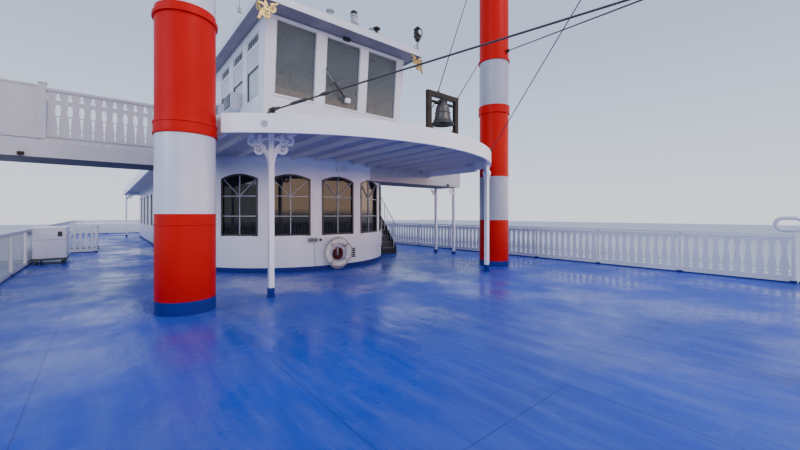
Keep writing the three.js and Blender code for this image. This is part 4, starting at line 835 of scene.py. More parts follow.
def make_cabin_sides():
    """Windows and base strips of the cabin's straight walls."""
    start = CABIN_AFT + WALL
    length = CABIN_X - start
    for side, sign in SIDES:
        shape = Shape()
        for middle in window_row(length, 2.0, 0.9, CABIN_DOOR_X - start):
            place = upright(start + middle, sign * (CABIN_RADIUS - WALL / 2), THIRD_Z, facing(sign))
            trimmed_window(shape, place, CABIN_WINDOW, ARCH_RISE, "fan")
        y = sign * CABIN_RADIUS
        strip = (THIRD_Z + 0.002, THIRD_Z + BASE_STRIP)
        for low, high in ((CABIN_AFT, CABIN_DOOR_X - 0.45), (CABIN_DOOR_X + 0.45, CABIN_X)):
            shape.box((low, high), sorted((y, y + sign * 0.012)), strip, "navy")
        shape.make(f"cabin_windows_{side}")
    shape = Shape()
    for middle in window_row(2 * CABIN_RADIUS, 2.0, 0.9):
        place = upright(CABIN_AFT + WALL / 2, middle - CABIN_RADIUS, THIRD_Z, -math.pi / 2)
        trimmed_window(shape, place, CABIN_WINDOW, ARCH_RISE, "fan")
    shape.make("cabin_windows_aft")


# Cabin roof: smooth rounded front, deep fascia, joists under it, posts with scroll brackets

ROOF = {"x": 8.5, "radius": 4.98, "half": 3.9, "aft": -12.0, "fascia": 0.31, "plate": 0.1}
JOIST = {"pitch": 0.58, "half": 0.02, "depth": 0.10}
NOTCH = {"aft": 4.84, "fore": 7.48, "inner": 3.15}
BITE = 0.52
FRONT_POSTS = ((12.42, 2.88), (11.79, -2.59))
EAVE_POSTS = ((-11.75, 3.75), (-11.75, -3.75))


def bitten(points, centre, radius):
    """The outline with a round notch where it passes through a circle."""
    inside = [math.dist(p, centre) < radius for p in points]
    count = len(points)
    first = next(i for i in range(count) if inside[i] and not inside[i - 1])
    ordered = [points[(first + i) % count] for i in range(count)]
    kept = [p for p in ordered if math.dist(p, centre) >= radius]
    turns = [math.atan2(p[1] - centre[1], p[0] - centre[0]) for p in (kept[-1], kept[0])]
    back = (turns[1] - turns[0]) % (2 * math.pi)
    sweep = back - 2 * math.pi
    start = math.degrees(turns[0])
    return kept + circle(*centre, radius, start, start + math.degrees(sweep), 16)


def roof_outline(shrink=0.0):
    """Plan of the cabin roof, with its round front, the stacks' notches and the stair's."""
    radius, half = ROOF["radius"] - shrink, ROOF["half"] - shrink
    spread = math.degrees(math.asin(half / radius))
    edge = circle(ROOF["x"], 0, radius, -spread, spread, 90)
    straight = [(x / 10, half) for x in range(112, 76, -1)]
    starboard = [(x, -y) for x, y in reversed(straight)]
    notch = [(NOTCH["fore"] + shrink, half), (NOTCH["fore"] + shrink, NOTCH["inner"] - shrink),
             (NOTCH["aft"] - shrink, NOTCH["inner"] - shrink), (NOTCH["aft"] - shrink, half)]
    aft = [(ROOF["aft"] + shrink, half), (ROOF["aft"] + shrink, -half)]
    points = edge + straight + notch + aft + starboard
    for y in STACK_Y.values():
        points = bitten(points, (STACK_X, y), BITE + shrink)
    return points


def make_roof():
    """The cabin roof with its fascia, joists, posts and scrolls."""
    shape = Shape()
    outer, inner = roof_outline(), roof_outline(0.06)
    top, under = ROOF_Z, ROOF_Z - ROOF["plate"]
    plan = roof_outline(0.004)
    shape.prism(plan, top - 0.03, top - 0.001, LEVEL, "roof_top")
    # the roof's plate, its sides and underside in the darker soffit paint as painted shade
    shape.prism(plan, under, top - 0.03, LEVEL, "soffit")
    ring(shape, outer, inner, top - ROOF["fascia"], top, "cabin")
    for k in range(-6, 7):
        y = k * JOIST["pitch"]
        if abs(y) < CABIN_RADIUS:
            near = CABIN_X + math.sqrt((CABIN_RADIUS + 0.01) ** 2 - y * y)
            reach = ROOF["x"] + math.sqrt((ROOF["radius"] - 0.06) ** 2 - y * y)
        else:
            near, reach = WING["fore"] + 0.09, STACK_X - 0.62
        shape.box((near, reach), about(y, JOIST["half"]), (under - JOIST["depth"], under), "joist")
    for x, y in (*FRONT_POSTS, *EAVE_POSTS):
        roof_post(shape, x, y, 0.09)
    for x, y in EAVE_POSTS:
        for turn in (0, -math.copysign(math.pi / 2, y)):
            scroll_bracket(shape, upright(x, y, under, turn))
    for x, y in FRONT_POSTS:
        along = math.atan2(x - ROOF["x"], -y)
        for turn in (along, along + math.pi):
            scroll_bracket(shape, upright(x, y, under, turn))
        collar(shape, x, y)
    roof_fittings(shape)
    shape.make("cabin_roof_canopy", replaces=("cabin_roof",))


def ring(shape, outer, inner, low, high, paint):
    """A band between two outlines with the same number of points."""
    count = len(outer)
    points = [Vector((*p, z)) for z in (low, high) for line in (outer, inner) for p in line]
    upright_faces, level_faces = [], []
    for i in range(count):
        j = (i + 1) % count
        upright_faces += [(i, j, 2 * count + j, 2 * count + i),
                          (count + i, 3 * count + i, 3 * count + j, count + j)]
        level_faces += [(i, count + i, count + j, j),
                        (2 * count + i, 2 * count + j, 3 * count + j, 3 * count + i)]
    shape.add(points, upright_faces + level_faces, paint)


def roof_post(shape, x, y, width):
    """A square post on a navy foot and plate."""
    height = ROOF_Z - ROOF["plate"] - THIRD_Z
    for grow, low, high, paint in ((0, 0.16, height, "cabin"), (0.004, 0.03, 0.17, "navy"),
                                   (0.014, 0.001, 0.03, "navy")):
        half = width / 2 + grow
        shape.box(about(x, half), about(y, half), (THIRD_Z + low, THIRD_Z + high), paint)


def collar(shape, x, y):
    """A pointed moulding round a post, under its scrolls."""
    halves = ((0.045, 2.40), (0.060, 2.50), (0.076, 2.57), (0.080, 2.60), (0.066, 2.615), (0.066, 2.65),
              (0.045, 2.66))
    profile = [(half * math.sqrt(2), z) for half, z in halves]
    place = at(x, y, THIRD_Z) @ Matrix.Rotation(math.pi / 4, 4, "Z")
    square = Shape()
    square.lathe(profile, place, "cabin", 4)
    shape.add(square.points, square.faces, "cabin")


def curl(x, y, radius, start, sweep, tight=0.45):
    """An arc about a centre whose far end tightens inwards."""
    points = []
    for i in range(19):
        turn = math.radians(start + sweep * i / 18)
        reach = radius * (1 - tight * (i / 18) ** 4)
        points.append((x + reach * math.cos(turn), y + reach * math.sin(turn)))
    return points


def scroll_bracket(shape, place, size=1.0, paint="cabin", thick=0.014):
    """Sawn scrolls beside a post under a roof; its origin is where the post's axis meets the roof."""
    strips = (
        (curl(0.325, -0.195, 0.072, 100, -310), 0.043),
        (curl(0.210, -0.345, 0.072, 55, -290), 0.043),
        ([(0.30, -0.125), (0.35, -0.095), (0.41, -0.085), (0.46, -0.045)], 0.034),
        ([(0.045, -0.50), (0.075, -0.44), (0.10, -0.37), (0.12, -0.30), (0.17, -0.26), (0.26, -0.245)],
         0.055),
        ([(0.04, -0.15), (0.10, -0.16), (0.15, -0.145)], 0.035),
        ([(0.17, -0.28), (0.195, -0.20), (0.20, -0.13), (0.19, -0.08)], 0.050),
        ([(0.13, -0.17), (0.19, -0.185), (0.25, -0.165)], 0.040),
        ([(0.20, -0.30), (0.235, -0.345), (0.21, -0.365)], 0.030),
        ([(0.30, -0.16), (0.335, -0.20), (0.31, -0.225)], 0.030),
    )
    for number, (path, width) in enumerate(strips):
        count = len(path)
        widths = [width * size * (0.85 + 0.35 * math.sin(math.pi * i / (count - 1))) for i in range(count)]
        outline = sawn_path([(x * size, y * size) for x, y in path], widths)
        half = thick + 0.0006 * number
        shape.prism(outline, -half, half, place, paint)


def roof_fittings(shape):
    """A blanking plate on the fascia and the long stay's eye on the roof's edge."""
    way = math.radians(-36.4)
    reach = ROOF["radius"] + 0.001
    place = upright(ROOF["x"] + reach * math.cos(way), reach * math.sin(way), ROOF_Z - 0.17,
                    way + math.pi / 2)
    shape.prism(circle(0, 0, 0.055, steps=16), 0, 0.012, place, "grey_plastic")
    eye = (12.545, -2.83)
    shape.box(about(eye[0], 0.045), about(eye[1], 0.02), (ROOF_Z - 0.01, ROOF_Z + 0.1), "iron")
    shape.box((eye[0] - 0.1, eye[0] + 0.03), about(eye[1], 0.09), (ROOF_Z - 0.001, ROOF_Z + 0.012), "iron")


# Bridge wings: plated walkway, sawn balustrade, solid box at the end

WING = {"aft": 8.1, "fore": 9.2, "under": THIRD_Z + 2.52, "walk": THIRD_Z + 2.86, "top": THIRD_Z + 3.79}
# distances from the centreline: where the rails start, the box, the end and the posts
WING_SPANS = {"port": {"rail": 1.95, "box": 4.57, "end": 5.52, "post": 5.25},
              "starboard": {"rail": 2.21, "box": 5.8, "end": 6.75, "post": 6.5}}


def wing_root(name):
    """The inner edge of a wing's plating: the port one follows the cabin's curved wall."""
    aft, fore = WING["aft"], WING["fore"]
    if name == "starboard":
        return [(fore, CABIN_RADIUS + 0.02), (aft, CABIN_RADIUS + 0.02)]
    edge = [fore + (aft - fore) * i / 8 for i in range(9)]
    return [(x, math.sqrt((CABIN_RADIUS + 0.002) ** 2 - (x - CABIN_X) ** 2)) for x in edge]


def make_wings():
    """Both bridge wings, with their rails, end boxes and posts."""
    aft, fore, under, walk, top = (WING[key] for key in ("aft", "fore", "under", "walk", "top"))
    for name, sign in SIDES:
        shape = Shape()
        spans = WING_SPANS[name]
        box_y, end, post_y = (spans[key] * sign for key in ("box", "end", "post"))
        edge = sign * ROOF["half"]
        root = [(x, sign * y) for x, y in wing_root(name)]
        inner = [*root, (aft, edge), (fore, edge)]
        # the inboard part under the roof is in the soffit's darker paint: painted shade on a white fascia
        shape.prism(inner, under + 0.006, ROOF_Z - 0.311, LEVEL, "soffit")
        sheltered = [*root, (aft, edge - sign * 0.06), (fore, edge - sign * 0.06)]
        shape.prism(sheltered, ROOF_Z - 0.311, ROOF_Z - 0.12, LEVEL, "soffit")
        shape.box((aft, fore), sorted((edge + sign * 0.001, end)), (under + 0.006, walk), "wing")
        shape.prism([*root, (aft, end), (fore, end)], under, under + 0.005, LEVEL, "wing_under")
        shape.box((aft, aft + 0.05), sorted((box_y, end)), (walk - 0.01, top), "wing")
        shape.box((fore - 0.05, fore), sorted((box_y, end)), (walk - 0.01, top), "wing")
        shape.box((aft + 0.05, fore - 0.05), sorted((end - sign * 0.05, end)), (walk - 0.01, top), "wing")
        for x in (aft - 0.015, fore - 0.065):
            shape.box((x, x + 0.08), sorted((box_y - sign * 0.03, end)), (top, top + 0.035), "wing")
        shape.box((aft, fore), sorted((end - sign * 0.065, end - sign * 0.001)), (top, top + 0.034), "wing")
        wing_rail(shape, fore - 0.025, sign, spans["rail"], spans["box"])
        pipe_rail(shape, aft + 0.025, sign, spans["rail"], spans["box"])
        lamp = upright(fore + 0.001, end - sign * 0.7, under + 0.05, math.pi / 2)
        shape.box((-0.045, 0.045), (-0.03, 0.03), (0, 0.035), "iron", lamp)
        bulb = [lamp @ Vector((0, 0, 0.03)), lamp @ Vector((0, -0.02, 0.075))]
        shape.tube(bulb, [0.02, 0.03], "iron", 12)
        for x in (aft + 0.08, fore - 0.08):
            shape.box(about(x, 0.04), about(post_y, 0.04), (THIRD_Z + 0.1, under + 0.006), "white")
            shape.box(about(x, 0.05), about(post_y, 0.05), (THIRD_Z + 0.001, THIRD_Z + 0.11), "navy")
            if name == "port":
                scroll_bracket(shape, upright(x, post_y, under, -math.pi / 2), 0.6)
        shape.make(f"bridge_wing_{name}_plated", replaces=(f"bridge_wing_{name}",))


def wing_rail(shape, x, sign, inner, outer):
    """The sawn balustrade along a wing's fore edge, from the pilothouse to the wing's box."""
    place = upright(x, sign * inner, WING["walk"], sign * math.pi / 2)
    length = outer - inner
    roof_end = ROOF["half"] - inner + 0.01
    rise = ROOF_Z - WING["walk"]
    height = WING["top"] - WING["walk"]
    shape.box((0, length + 0.05), (height - 0.05, height), (-0.04, 0.04), "wing", place)
    shape.box((roof_end, length), (0.0, 0.06), (-0.02, 0.02), "wing", place)
    shape.box((roof_end, length), (0.035, 0.055), (-0.034, 0.034), "grey_plastic", place)
    shape.box((0, roof_end), (rise + 0.02, rise + 0.10), (-0.02, 0.02), "wing", place)
    cut = [(z, gap) for z, gap in VASE if z > rise + 0.12]
    shape.box((0.06, roof_end), (rise + 0.09, cut[0][0] + 0.002), (-0.015, 0.015), "wing", place)
    for low, high, profile in ((roof_end + 0.02, length - 0.06, VASE), (0.06, roof_end, cut)):
        boards(shape, place, low, high, profile, "wing", VASE_PITCH)
        shape.box((low, high), (profile[-1][0] - 0.002, height - 0.045), (-0.015, 0.015), "wing", place)
    for post, low in ((0.03, rise + 0.002), (roof_end - 0.02, rise + 0.002), (length - 0.02, 0.0)):
        shape.box(about(post, 0.05), (low, height + 0.07), (-0.05, 0.05), "wing", place)
        shape.box(about(post, 0.06), (height + 0.07, height + 0.085), (-0.06, 0.06), "wing", place)
    count = max(1, round((length - roof_end) / VASE_PITCH))
    step = (length - roof_end) / count
    strip = upright(x + 0.026, sign * (inner + roof_end), WING["walk"], sign * math.pi / 2)
    for i in range(count):
        shape.prism(circle((i + 0.5) * step, -0.015, step * 0.3, 180, 360, 6), -0.003, 0.003, strip, "lamp")


def pipe_rail(shape, x, sign, inner, outer):
    """Three pipes between slim posts along a wing's aft edge."""
    height = WING["top"] - 0.02
    low = ROOF_Z + 0.13
    for z, radius in ((height, 0.024), ((height + low) / 2, 0.014), (low, 0.014)):
        shape.tube([(x, sign * inner, z), (x, sign * outer, z)], radius, "rail", 8)
    bays = round((outer - inner) / 1.2)
    for i in range(bays + 1):
        y = inner + (outer - inner) * i / bays
        foot = ROOF_Z + 0.002 if y < ROOF["half"] + 0.02 else WING["walk"] - 0.002
        shape.tube([(x, sign * y, foot), (x, sign * y, height)], 0.02, "rail", 8)


# Pilothouse: windows with glass, what is inside, roof with gilded scrolls, vents and a searchlight

PILOT = {"front": 9.94, "lean": 0.279, "aft": 5.4, "middle": -0.13, "half": 2.0, "wall": 0.08,
         "height": 2.91}
PILOT_WINDOWS = (-1.39, -0.115, 1.135)
PILOT_WINDOW = {"width": 1.0, "sill": 1.17, "head": 2.84}
PILOT_SIDE_AFT = (6.24, 7.54, 8.8)
PILOT_SIDE = {"width": 0.9, "sill": 1.19, "sash": 1.93, "bar": 2.39, "head": 2.71}
PILOT_UNDER = THIRD_Z + 6.02
PILOT_TOP = PILOT_UNDER + 0.16
PILOT_ROOF = {"aft": 4.85, "fore": 10.689, "low": -2.42, "high": 2.16, "rise": 0.04}


def leaning(y, out):
    """Place of an elevation on the leaning front, about a line at y, its origin at the roof's height."""
    slope = PILOT["lean"] / PILOT["height"]
    return Matrix(((0, slope, 1, PILOT["front"] + out), (1, 0, 0, y), (0, 1, 0, ROOF_Z), (0, 0, 0, 1)))


def make_pilothouse():
    """Glazing of the pilothouse, and what stands inside it."""
    shape = Shape()
    width, sill, head = (PILOT_WINDOW[key] for key in ("width", "sill", "head"))
    for y in PILOT_WINDOWS:
        place = leaning(y, -0.05)
        outline, pane, hole = (window_outline(width, sill, head, 0, grow) for grow in (0, -0.012, -0.022))
        shape.prism(outline, -0.03, 0.035, place, "grey_plastic", [hole])
        shape.prism(pane, -0.01, 0.0, place, "pilot_glass")
        shape.box((-width / 2 - 0.04, width / 2 + 0.04), (sill - 0.04, sill), (0.03, 0.075), "white", place)
    wiper(shape)
    for _, sign in SIDES:
        y = PILOT["middle"] + sign * (PILOT["half"] - PILOT["wall"] / 2)
        for number, aft in enumerate(PILOT_SIDE_AFT):
            place = upright(aft + PILOT_SIDE["width"] / 2, y, ROOF_Z, facing(sign))
            side_window(shape, place)
            if number < 2:
                cooler(shape, place)
    for middle in (-1.41, 1.05):
        place = upright(PILOT["aft"] + 0.04, middle, ROOF_Z, -math.pi / 2)
        window(shape, place, 0.7, PILOT_SIDE["sill"], PILOT_SIDE["bar"], depth=0.035, border=0.03)
    make_inside(shape)
    shape.make("pilothouse_windows")


def side_window(shape, place):
    """Transom pane, pale fixed panel and the lower sash in its dark frame, whose black is painted shadow of
    the recess; the sash's pale pane is painted sky reflection.
    """
    width, sill, sash, bar, head = (PILOT_SIDE[key] for key in ("width", "sill", "sash", "bar", "head"))
    window(shape, place, width, bar + 0.07, head, depth=0.035, border=0.025, bars="none", rim="white")
    half = width / 2
    low, high = bar + 0.05, head - 0.015
    shape.box((-half + 0.03, half - 0.03), (low, high), (0.004, 0.010), "black_plastic", place)
    for k in range(1, 5):
        x = -half + k * width / 5
        shape.box(about(x, 0.012), (low, high), (0.009, 0.016), "grey_plastic", place)
    shape.box((-half, half), (sash, bar), (-0.03, 0.012), "panel", place)
    shape.prism(rect(-half, half, sash, bar), 0.012, 0.02, place, "white",
                [rect(-half + 0.035, half - 0.035, sash + 0.035, bar - 0.035)])
    # a frame round the lower sash, broad at its top and sides, whose black stands in for the recess's
    # shadow on the pane: painted shadow
    shape.prism(rect(-half, half, sill, sash), -0.035, 0.014, place, "black",
                [rect(-half + 0.045, half - 0.045, sill + 0.03, sash - 0.045)])
    # the lower sash's pane, nearly opaque and pale: painted reflection of the sky
    shape.box(about(0, half - 0.03), (sill + 0.02, sash - 0.03), (-0.012, -0.004), "pale_glass", place)


def wiper(shape):
    """Wiper on the middle window, with its motor box under the sill."""
    place = leaning(0, 0.035)
    pivot, tip = Vector((-0.07, 1.42, 0.03)), Vector((-0.62, 1.97, 0.03))
    shape.tube([place @ pivot, place @ pivot.lerp(tip, 0.6)], 0.028, "black_plastic", 6)
    shape.tube([place @ pivot.lerp(tip, 0.55), place @ tip], 0.014, "steel", 6)
    beside = (tip - pivot).cross(UP).normalized() * 0.02
    blade = [place @ (pivot.lerp(tip, share) + beside) for share in (0.35, 1.1)]
    shape.tube(blade, 0.009, "rubber", 6)
    shape.box((-0.05, 0.09), (1.32, 1.43), (-0.02, 0.05), "white", place)


def cooler(shape, place):
    """Window air cooler: a white case with a dark louvred face."""
    shape.box((-0.28, 0.30), (1.15, 1.58), (-0.04, 0.30), "white", place)
    shape.box((-0.24, 0.26), (1.19, 1.54), (0.30, 0.315), "black_plastic", place)
    for i in range(9):
        z = 1.21 + i * 0.037
        shape.box((-0.23, 0.25), (z, z + 0.012), (0.31, 0.325), "grey_plastic", place)


def make_inside(shape):
    """Counter under the front windows, things on it and the ceiling, seen through the glass."""
    x = PILOT["front"] - 0.1
    half = PILOT["half"] - PILOT["wall"] - 0.02
    low, high = PILOT["middle"] - half, PILOT["middle"] + half
    things = (
        (-0.62, 0, low, high, 1.16, 1.22, "counter"),
        (-0.60, -0.56, low, high, 0.01, 1.16, "counter"),
        (0.03, 0.05, low + 0.02, 0.42, 1.15, 1.40, "counter"),
        (-0.42, -0.28, -1.27, -1.13, 1.72, 1.98, "black_plastic"),
        (-0.45, -0.25, -1.34, -1.06, 1.22, 1.28, "black_plastic"),
        (-0.5, -0.1, -1.78, -1.42, 1.5, 1.78, "black_plastic"),
        (-0.34, -0.28, -1.63, -1.57, 1.22, 1.5, "black_plastic"),
        (-0.52, -0.16, 0.2, 0.75, 1.22, 1.45, "grey_plastic"),
    )
    for aft, fore, right, left, foot, top, paint in things:
        shape.box((x + aft, x + fore), (right, left), (ROOF_Z + foot, ROOF_Z + top), paint)
    flask = [(x - 0.35, -1.20, ROOF_Z + z) for z in (1.22, 1.85)]
    shape.tube(flask, 0.035, "black_plastic", 10)
    ceiling = (PILOT_UNDER - 0.05, PILOT_UNDER - 0.01)
    shape.box((PILOT["aft"] + 0.12, x + 0.2), (low, high), ceiling, "white")
    lamp = (PILOT_UNDER - 0.10, PILOT_UNDER - 0.05)
    for y in (-1.5, -0.7, 0.2, 1.0):
        shape.box((PILOT["aft"] + 0.2, x + 0.1), (y, y + 0.12), lamp, "lamp")


def make_pilot_roof():
    """The pilothouse roof: crowned top, white edge, an eave painted dark grey as shade, and gilded scrolls.
    """
    shape = Shape()
    aft, fore, low, high, rise = (PILOT_ROOF[key] for key in ("aft", "fore", "low", "high", "rise"))
    middle, half = (low + high) / 2, (high - low) / 2
    steps = 16
    shares = [1 - 2 * i / steps for i in range(steps + 1)]
    crown = [(half * share, PILOT_TOP + rise * (1 - share ** 2)) for share in shares]
    across = upright(aft, middle, 0, math.pi / 2)
    lid = [(-half, PILOT_TOP - 0.04), (half, PILOT_TOP - 0.04), *crown]
    shape.prism(lid, 0.001, fore - aft - 0.001, across, "roof_top")
    edge, fascia, eave = (rect(aft - grow, fore + grow, low - grow, high + grow)
                          for grow in (0, 0.012, -0.05))
    shape.prism(edge, PILOT_UNDER + 0.02, PILOT_TOP - 0.04, LEVEL, "eave")
    ring(shape, fascia, edge, PILOT_UNDER, PILOT_TOP - 0.002, "white")
    ring(shape, edge, eave, PILOT_UNDER + 0.001, PILOT_UNDER + 0.03, "eave")
    for y, inward in ((low, 1), (high, -1)):
        across = upright(fore - 0.02, y - inward * 0.08, PILOT_UNDER + 0.04, inward * math.pi / 2)
        along = upright(fore + 0.02, y - inward * 0.004, PILOT_UNDER + 0.02, math.pi)
        scroll_bracket(shape, across, 1.0, "gold", 0.012)
        scroll_bracket(shape, along, 0.6, "gold", 0.012)
    top_fittings(shape)
    shape.make("pilothouse_crown", replaces=("pilothouse_roof",))


def top_fittings(shape):
    """Vents, lantern, aerial and lamps on the pilothouse roof."""
    mushroom = [(0, 0), (0.04, 0), (0.04, 0.12), (0.10, 0.13), (0.10, 0.16), (0.05, 0.19), (0, 0.2)]
    lantern = [(0, 0), (0.11, 0), (0.13, 0.03), (0.08, 0.07), (0.075, 0.20), (0.10, 0.23), (0.10, 0.26),
               (0, 0.27)]
    top = PILOT_TOP + 0.11
    for x, y, size, paint in ((10.49, -0.69, 1.0, "grey_plastic"), (10.52, 0.67, 1.0, "iron"),
                              (10.52, 0.50, 0.6, "grey_plastic")):
        profile = [(radius * size, z * size) for radius, z in mushroom]
        shape.lathe(profile, at(x, y, top - 0.01), paint, 16)
    place = at(10.5, -0.02, top)
    shape.lathe(lantern, place, "grey_plastic", 20)
    shape.lathe([(0, 0.26), (0.085, 0.26), (0.09, 0.33), (0.05, 0.37), (0, 0.375)], place, "iron", 20)
    x, y = 8.8, -2.3
    shape.tube([(x, y, PILOT_TOP - 0.01), (x, y, PILOT_TOP + 0.36)], 0.014, "rail", 8)
    shape.lathe([(0, 0), (0.05, 0.01), (0.06, 0.06), (0.05, 0.12), (0, 0.13)],
                at(x, y, PILOT_TOP + 0.35), "steel", 16)
    shape.tube([(x, y, PILOT_TOP + 0.47), (x, y, PILOT_TOP + 0.95)], 0.006, "wire", 6)
    make_searchlight(shape)
    shape.box((10.23, 10.31), (-0.18, 0.0), (PILOT_UNDER - 0.05, PILOT_UNDER + 0.02), "black_plastic")


def make_searchlight(shape):
    """Black drum on a silver stalk, with a hook under it, at the roof's port front corner."""
    x, y, foot = 10.57, 2.1, PILOT_TOP
    shape.tube([(x, y, foot - 0.01), (x, y, foot + 0.30)], 0.028, "steel", 12)
    hook = ((-0.02, 0.02), (-0.10, 0.06), (-0.13, 0.15), (-0.04, 0.2), (0.03, 0.27), (0, 0.34))
    shape.tube([(x, y + out, foot + z) for out, z in hook], 0.016, "steel", 8)
    body = [(0, 0), (0.05, 0.005), (0.075, 0.05), (0.10, 0.13), (0.105, 0.24), (0.095, 0.34),
            (0.06, 0.41), (0.03, 0.44), (0, 0.445)]
    shape.lathe(body, at(x, y, foot + 0.32), "black_plastic", 24)
    for z in (0.14, 0.24, 0.34):
        shape.lathe([(0.08, z - 0.012), (0.118, z - 0.008), (0.118, z + 0.008), (0.08, z + 0.012)],
                    at(x, y, foot + 0.32), "iron", 24)
    face = at(x, y, foot + 0.55) @ Matrix.Rotation(math.pi / 2, 4, "Y")
    shape.lathe([(0, 0.137), (0.05, 0.135), (0.075, 0.12), (0.085, 0.09)], face, "lamp", 24)
    shape.lathe([(0.085, 0.02), (0.092, 0.12), (0.098, 0.12), (0.098, 0.02)], face, "iron", 24)


# Stacks: smooth banded tubes with flanged rings and a flared crown

STACK_RADIUS = 0.42
# height over the third deck, radius, and paint of the stretch that starts there
STACK_FOOT = {
    "starboard": (
        (0.001, 0.424, "navy"), (0.20, 0.424, "navy"), (0.20, 0.42, "red"), (1.325, 0.42, "red"),
        (1.33, 0.426, "red"), (1.35, 0.426, "red"), (1.355, 0.42, "red"), (1.50, 0.42, "stack_white"),
        (2.70, 0.42, "red"),
        (2.705, 0.442, "red"), (2.73, 0.446, "red"), (2.735, 0.434, "red"), (2.865, 0.434, "red"),
        (2.87, 0.444, "red"), (2.90, 0.440, "red"), (2.905, 0.42, "red"), (4.47, 0.42, "red"),
        (4.475, 0.45, "red"), (4.53, 0.45, "red"), (4.535, 0.42, "red"), (4.62, 0.42, "stack_white"),
    ),
    # the port stack's white bands are in a darker copy of the stack white: painted shade
    "port": (
        (0.001, 0.424, "navy"), (0.15, 0.424, "navy"), (0.15, 0.42, "red"), (1.335, 0.42, "hazed_white"),
        (2.595, 0.42, "red"), (4.43, 0.42, "red"), (4.435, 0.45, "red"), (4.665, 0.45, "red"),
        (4.67, 0.42, "hazed_white"),
    ),
}
STACK_HEAD = (
    (5.96, 0.42, "red"), (5.965, 0.452, "red"), (6.03, 0.452, "red"), (6.035, 0.42, "red"),
    (8.20, 0.42, "black"), (8.22, 0.42, "black"), (8.45, 0.455, "black"), (8.65, 0.52, "black"),
    (8.90, 0.61, "black"),
    (9.10, 0.695, "black"), (9.25, 0.70, "black"), (9.29, 0.65, "black"), (9.0, 0.56, "black"),
    (8.70, 0.46, "black"), (8.20, 0.37, "black"), (7.60, 0.36, "black"), (7.60, 0.0, "black"),
)


def make_stacks():
    """Both stacks, each turned from its table of bands."""
    for name, _ in SIDES:
        shape = Shape()
        x, y = STACK_X, STACK_Y[name]
        bands = STACK_FOOT[name] + STACK_HEAD
        shape.lathe([(radius, z) for z, radius, _ in bands], at(x, y, THIRD_Z),
                    [paint for _, _, paint in bands], 64)
        shape.box((x + 0.40, x + 0.52), about(y, 0.02), (THIRD_Z + 6.16, THIRD_Z + 6.24), "iron")
        for (low, radius, paint), (high, _, _) in zip(bands, bands[1:]):
            if radius == STACK_RADIUS and 1 < high - low < 2.5:
                shape.box((x - 0.424, x - 0.41), about(y, 0.012), (THIRD_Z + low, THIRD_Z + high), paint)
        shape.make(f"stack_{name}_tube", replaces=(f"stack_{name}",))


# Bell in its frame, life ring, deck locker

BELL = {"x": 13.05, "y": 0.55, "z": ROOF_Z + 0.70}


def make_bell():
    """The bell with its yoke and clapper, and the frame that it swings in."""
    x, y, z = BELL["x"], BELL["y"], BELL["z"]
    cup = [(0, 0.045), (0.05, 0.04), (0.085, 0.01), (0.11, -0.03), (0.135, -0.07), (0.147, -0.12),
           (0.152, -0.19), (0.165, -0.28), (0.182, -0.345), (0.208, -0.395), (0.245, -0.425),
           (0.25, -0.435), (0.24, -0.44), (0.20, -0.40), (0.165, -0.33), (0.145, -0.25), (0.13, -0.15),
           (0.11, -0.07), (0, -0.06)]
    shape = Shape()
    shape.lathe(cup, at(x, y, z), "bronze", 40)
    for low, radius in ((-0.20, 0.157), (-0.36, 0.191)):
        bead = [(*p, z + low) for p in circle(x, y, radius, steps=40)]
        shape.tube(bead, 0.008, "bronze", 6, closed=True)
    yoke = [(x, y + along, z) for along in (-0.36, -0.25, 0.25, 0.36)]
    shape.tube(yoke, [0.02, 0.03, 0.03, 0.02], "iron", 12)
    shape.box(about(x, 0.05), about(y, 0.09), (z - 0.03, z + 0.07), "iron")
    shape.tube([(x, y, z - 0.06), (x, y, z - 0.36)], 0.014, "iron", 8)
    clapper = [(0, -0.43), (0.03, -0.42), (0.042, -0.39), (0.03, -0.36), (0, -0.35)]
    shape.lathe(clapper, at(x, y, z), "iron", 16)
    lever = [(x - 0.02, y - 0.05, z - 0.02), (x - 0.14, y - 0.1, z + 0.02), (x - 0.2, y - 0.1, z - 0.05)]
    shape.tube(lever, 0.012, "iron", 8)
    shape.make("bell_cast", "bell", ("bell",))
    frame_shape = Shape()
    half, post, height = 0.45, 0.10, 0.9
    place = upright(x, y, ROOF_Z, math.pi / 2)
    outer, inner = rect(-half, half, 0.003, height), rect(post - half, half - post, post, height - post)
    frame_shape.prism(outer, -0.04, 0.04, place, "iron", [inner])
    for sign in (-1, 1):
        arc = [(sign * (half - post + 0.004), 0.25), (sign * (half - 0.12), 0.16),
               (sign * (half - 0.25), post)]
        frame_shape.prism(sawn_path(arc, [0.03, 0.05, 0.03]), -0.015, 0.015, place, "iron")
        for bolt_z in (0.04, height - 0.04):
            bolt = circle(sign * (half - 0.04), bolt_z, 0.014, steps=6)
            frame_shape.prism(bolt, -0.046, 0.046, place, "iron")
    frame_shape.make("bell_frame_cast", replaces=("bell_frame",))


LIFE_RING = {"radius": 0.315, "tube": 0.075, "z": 0.46}


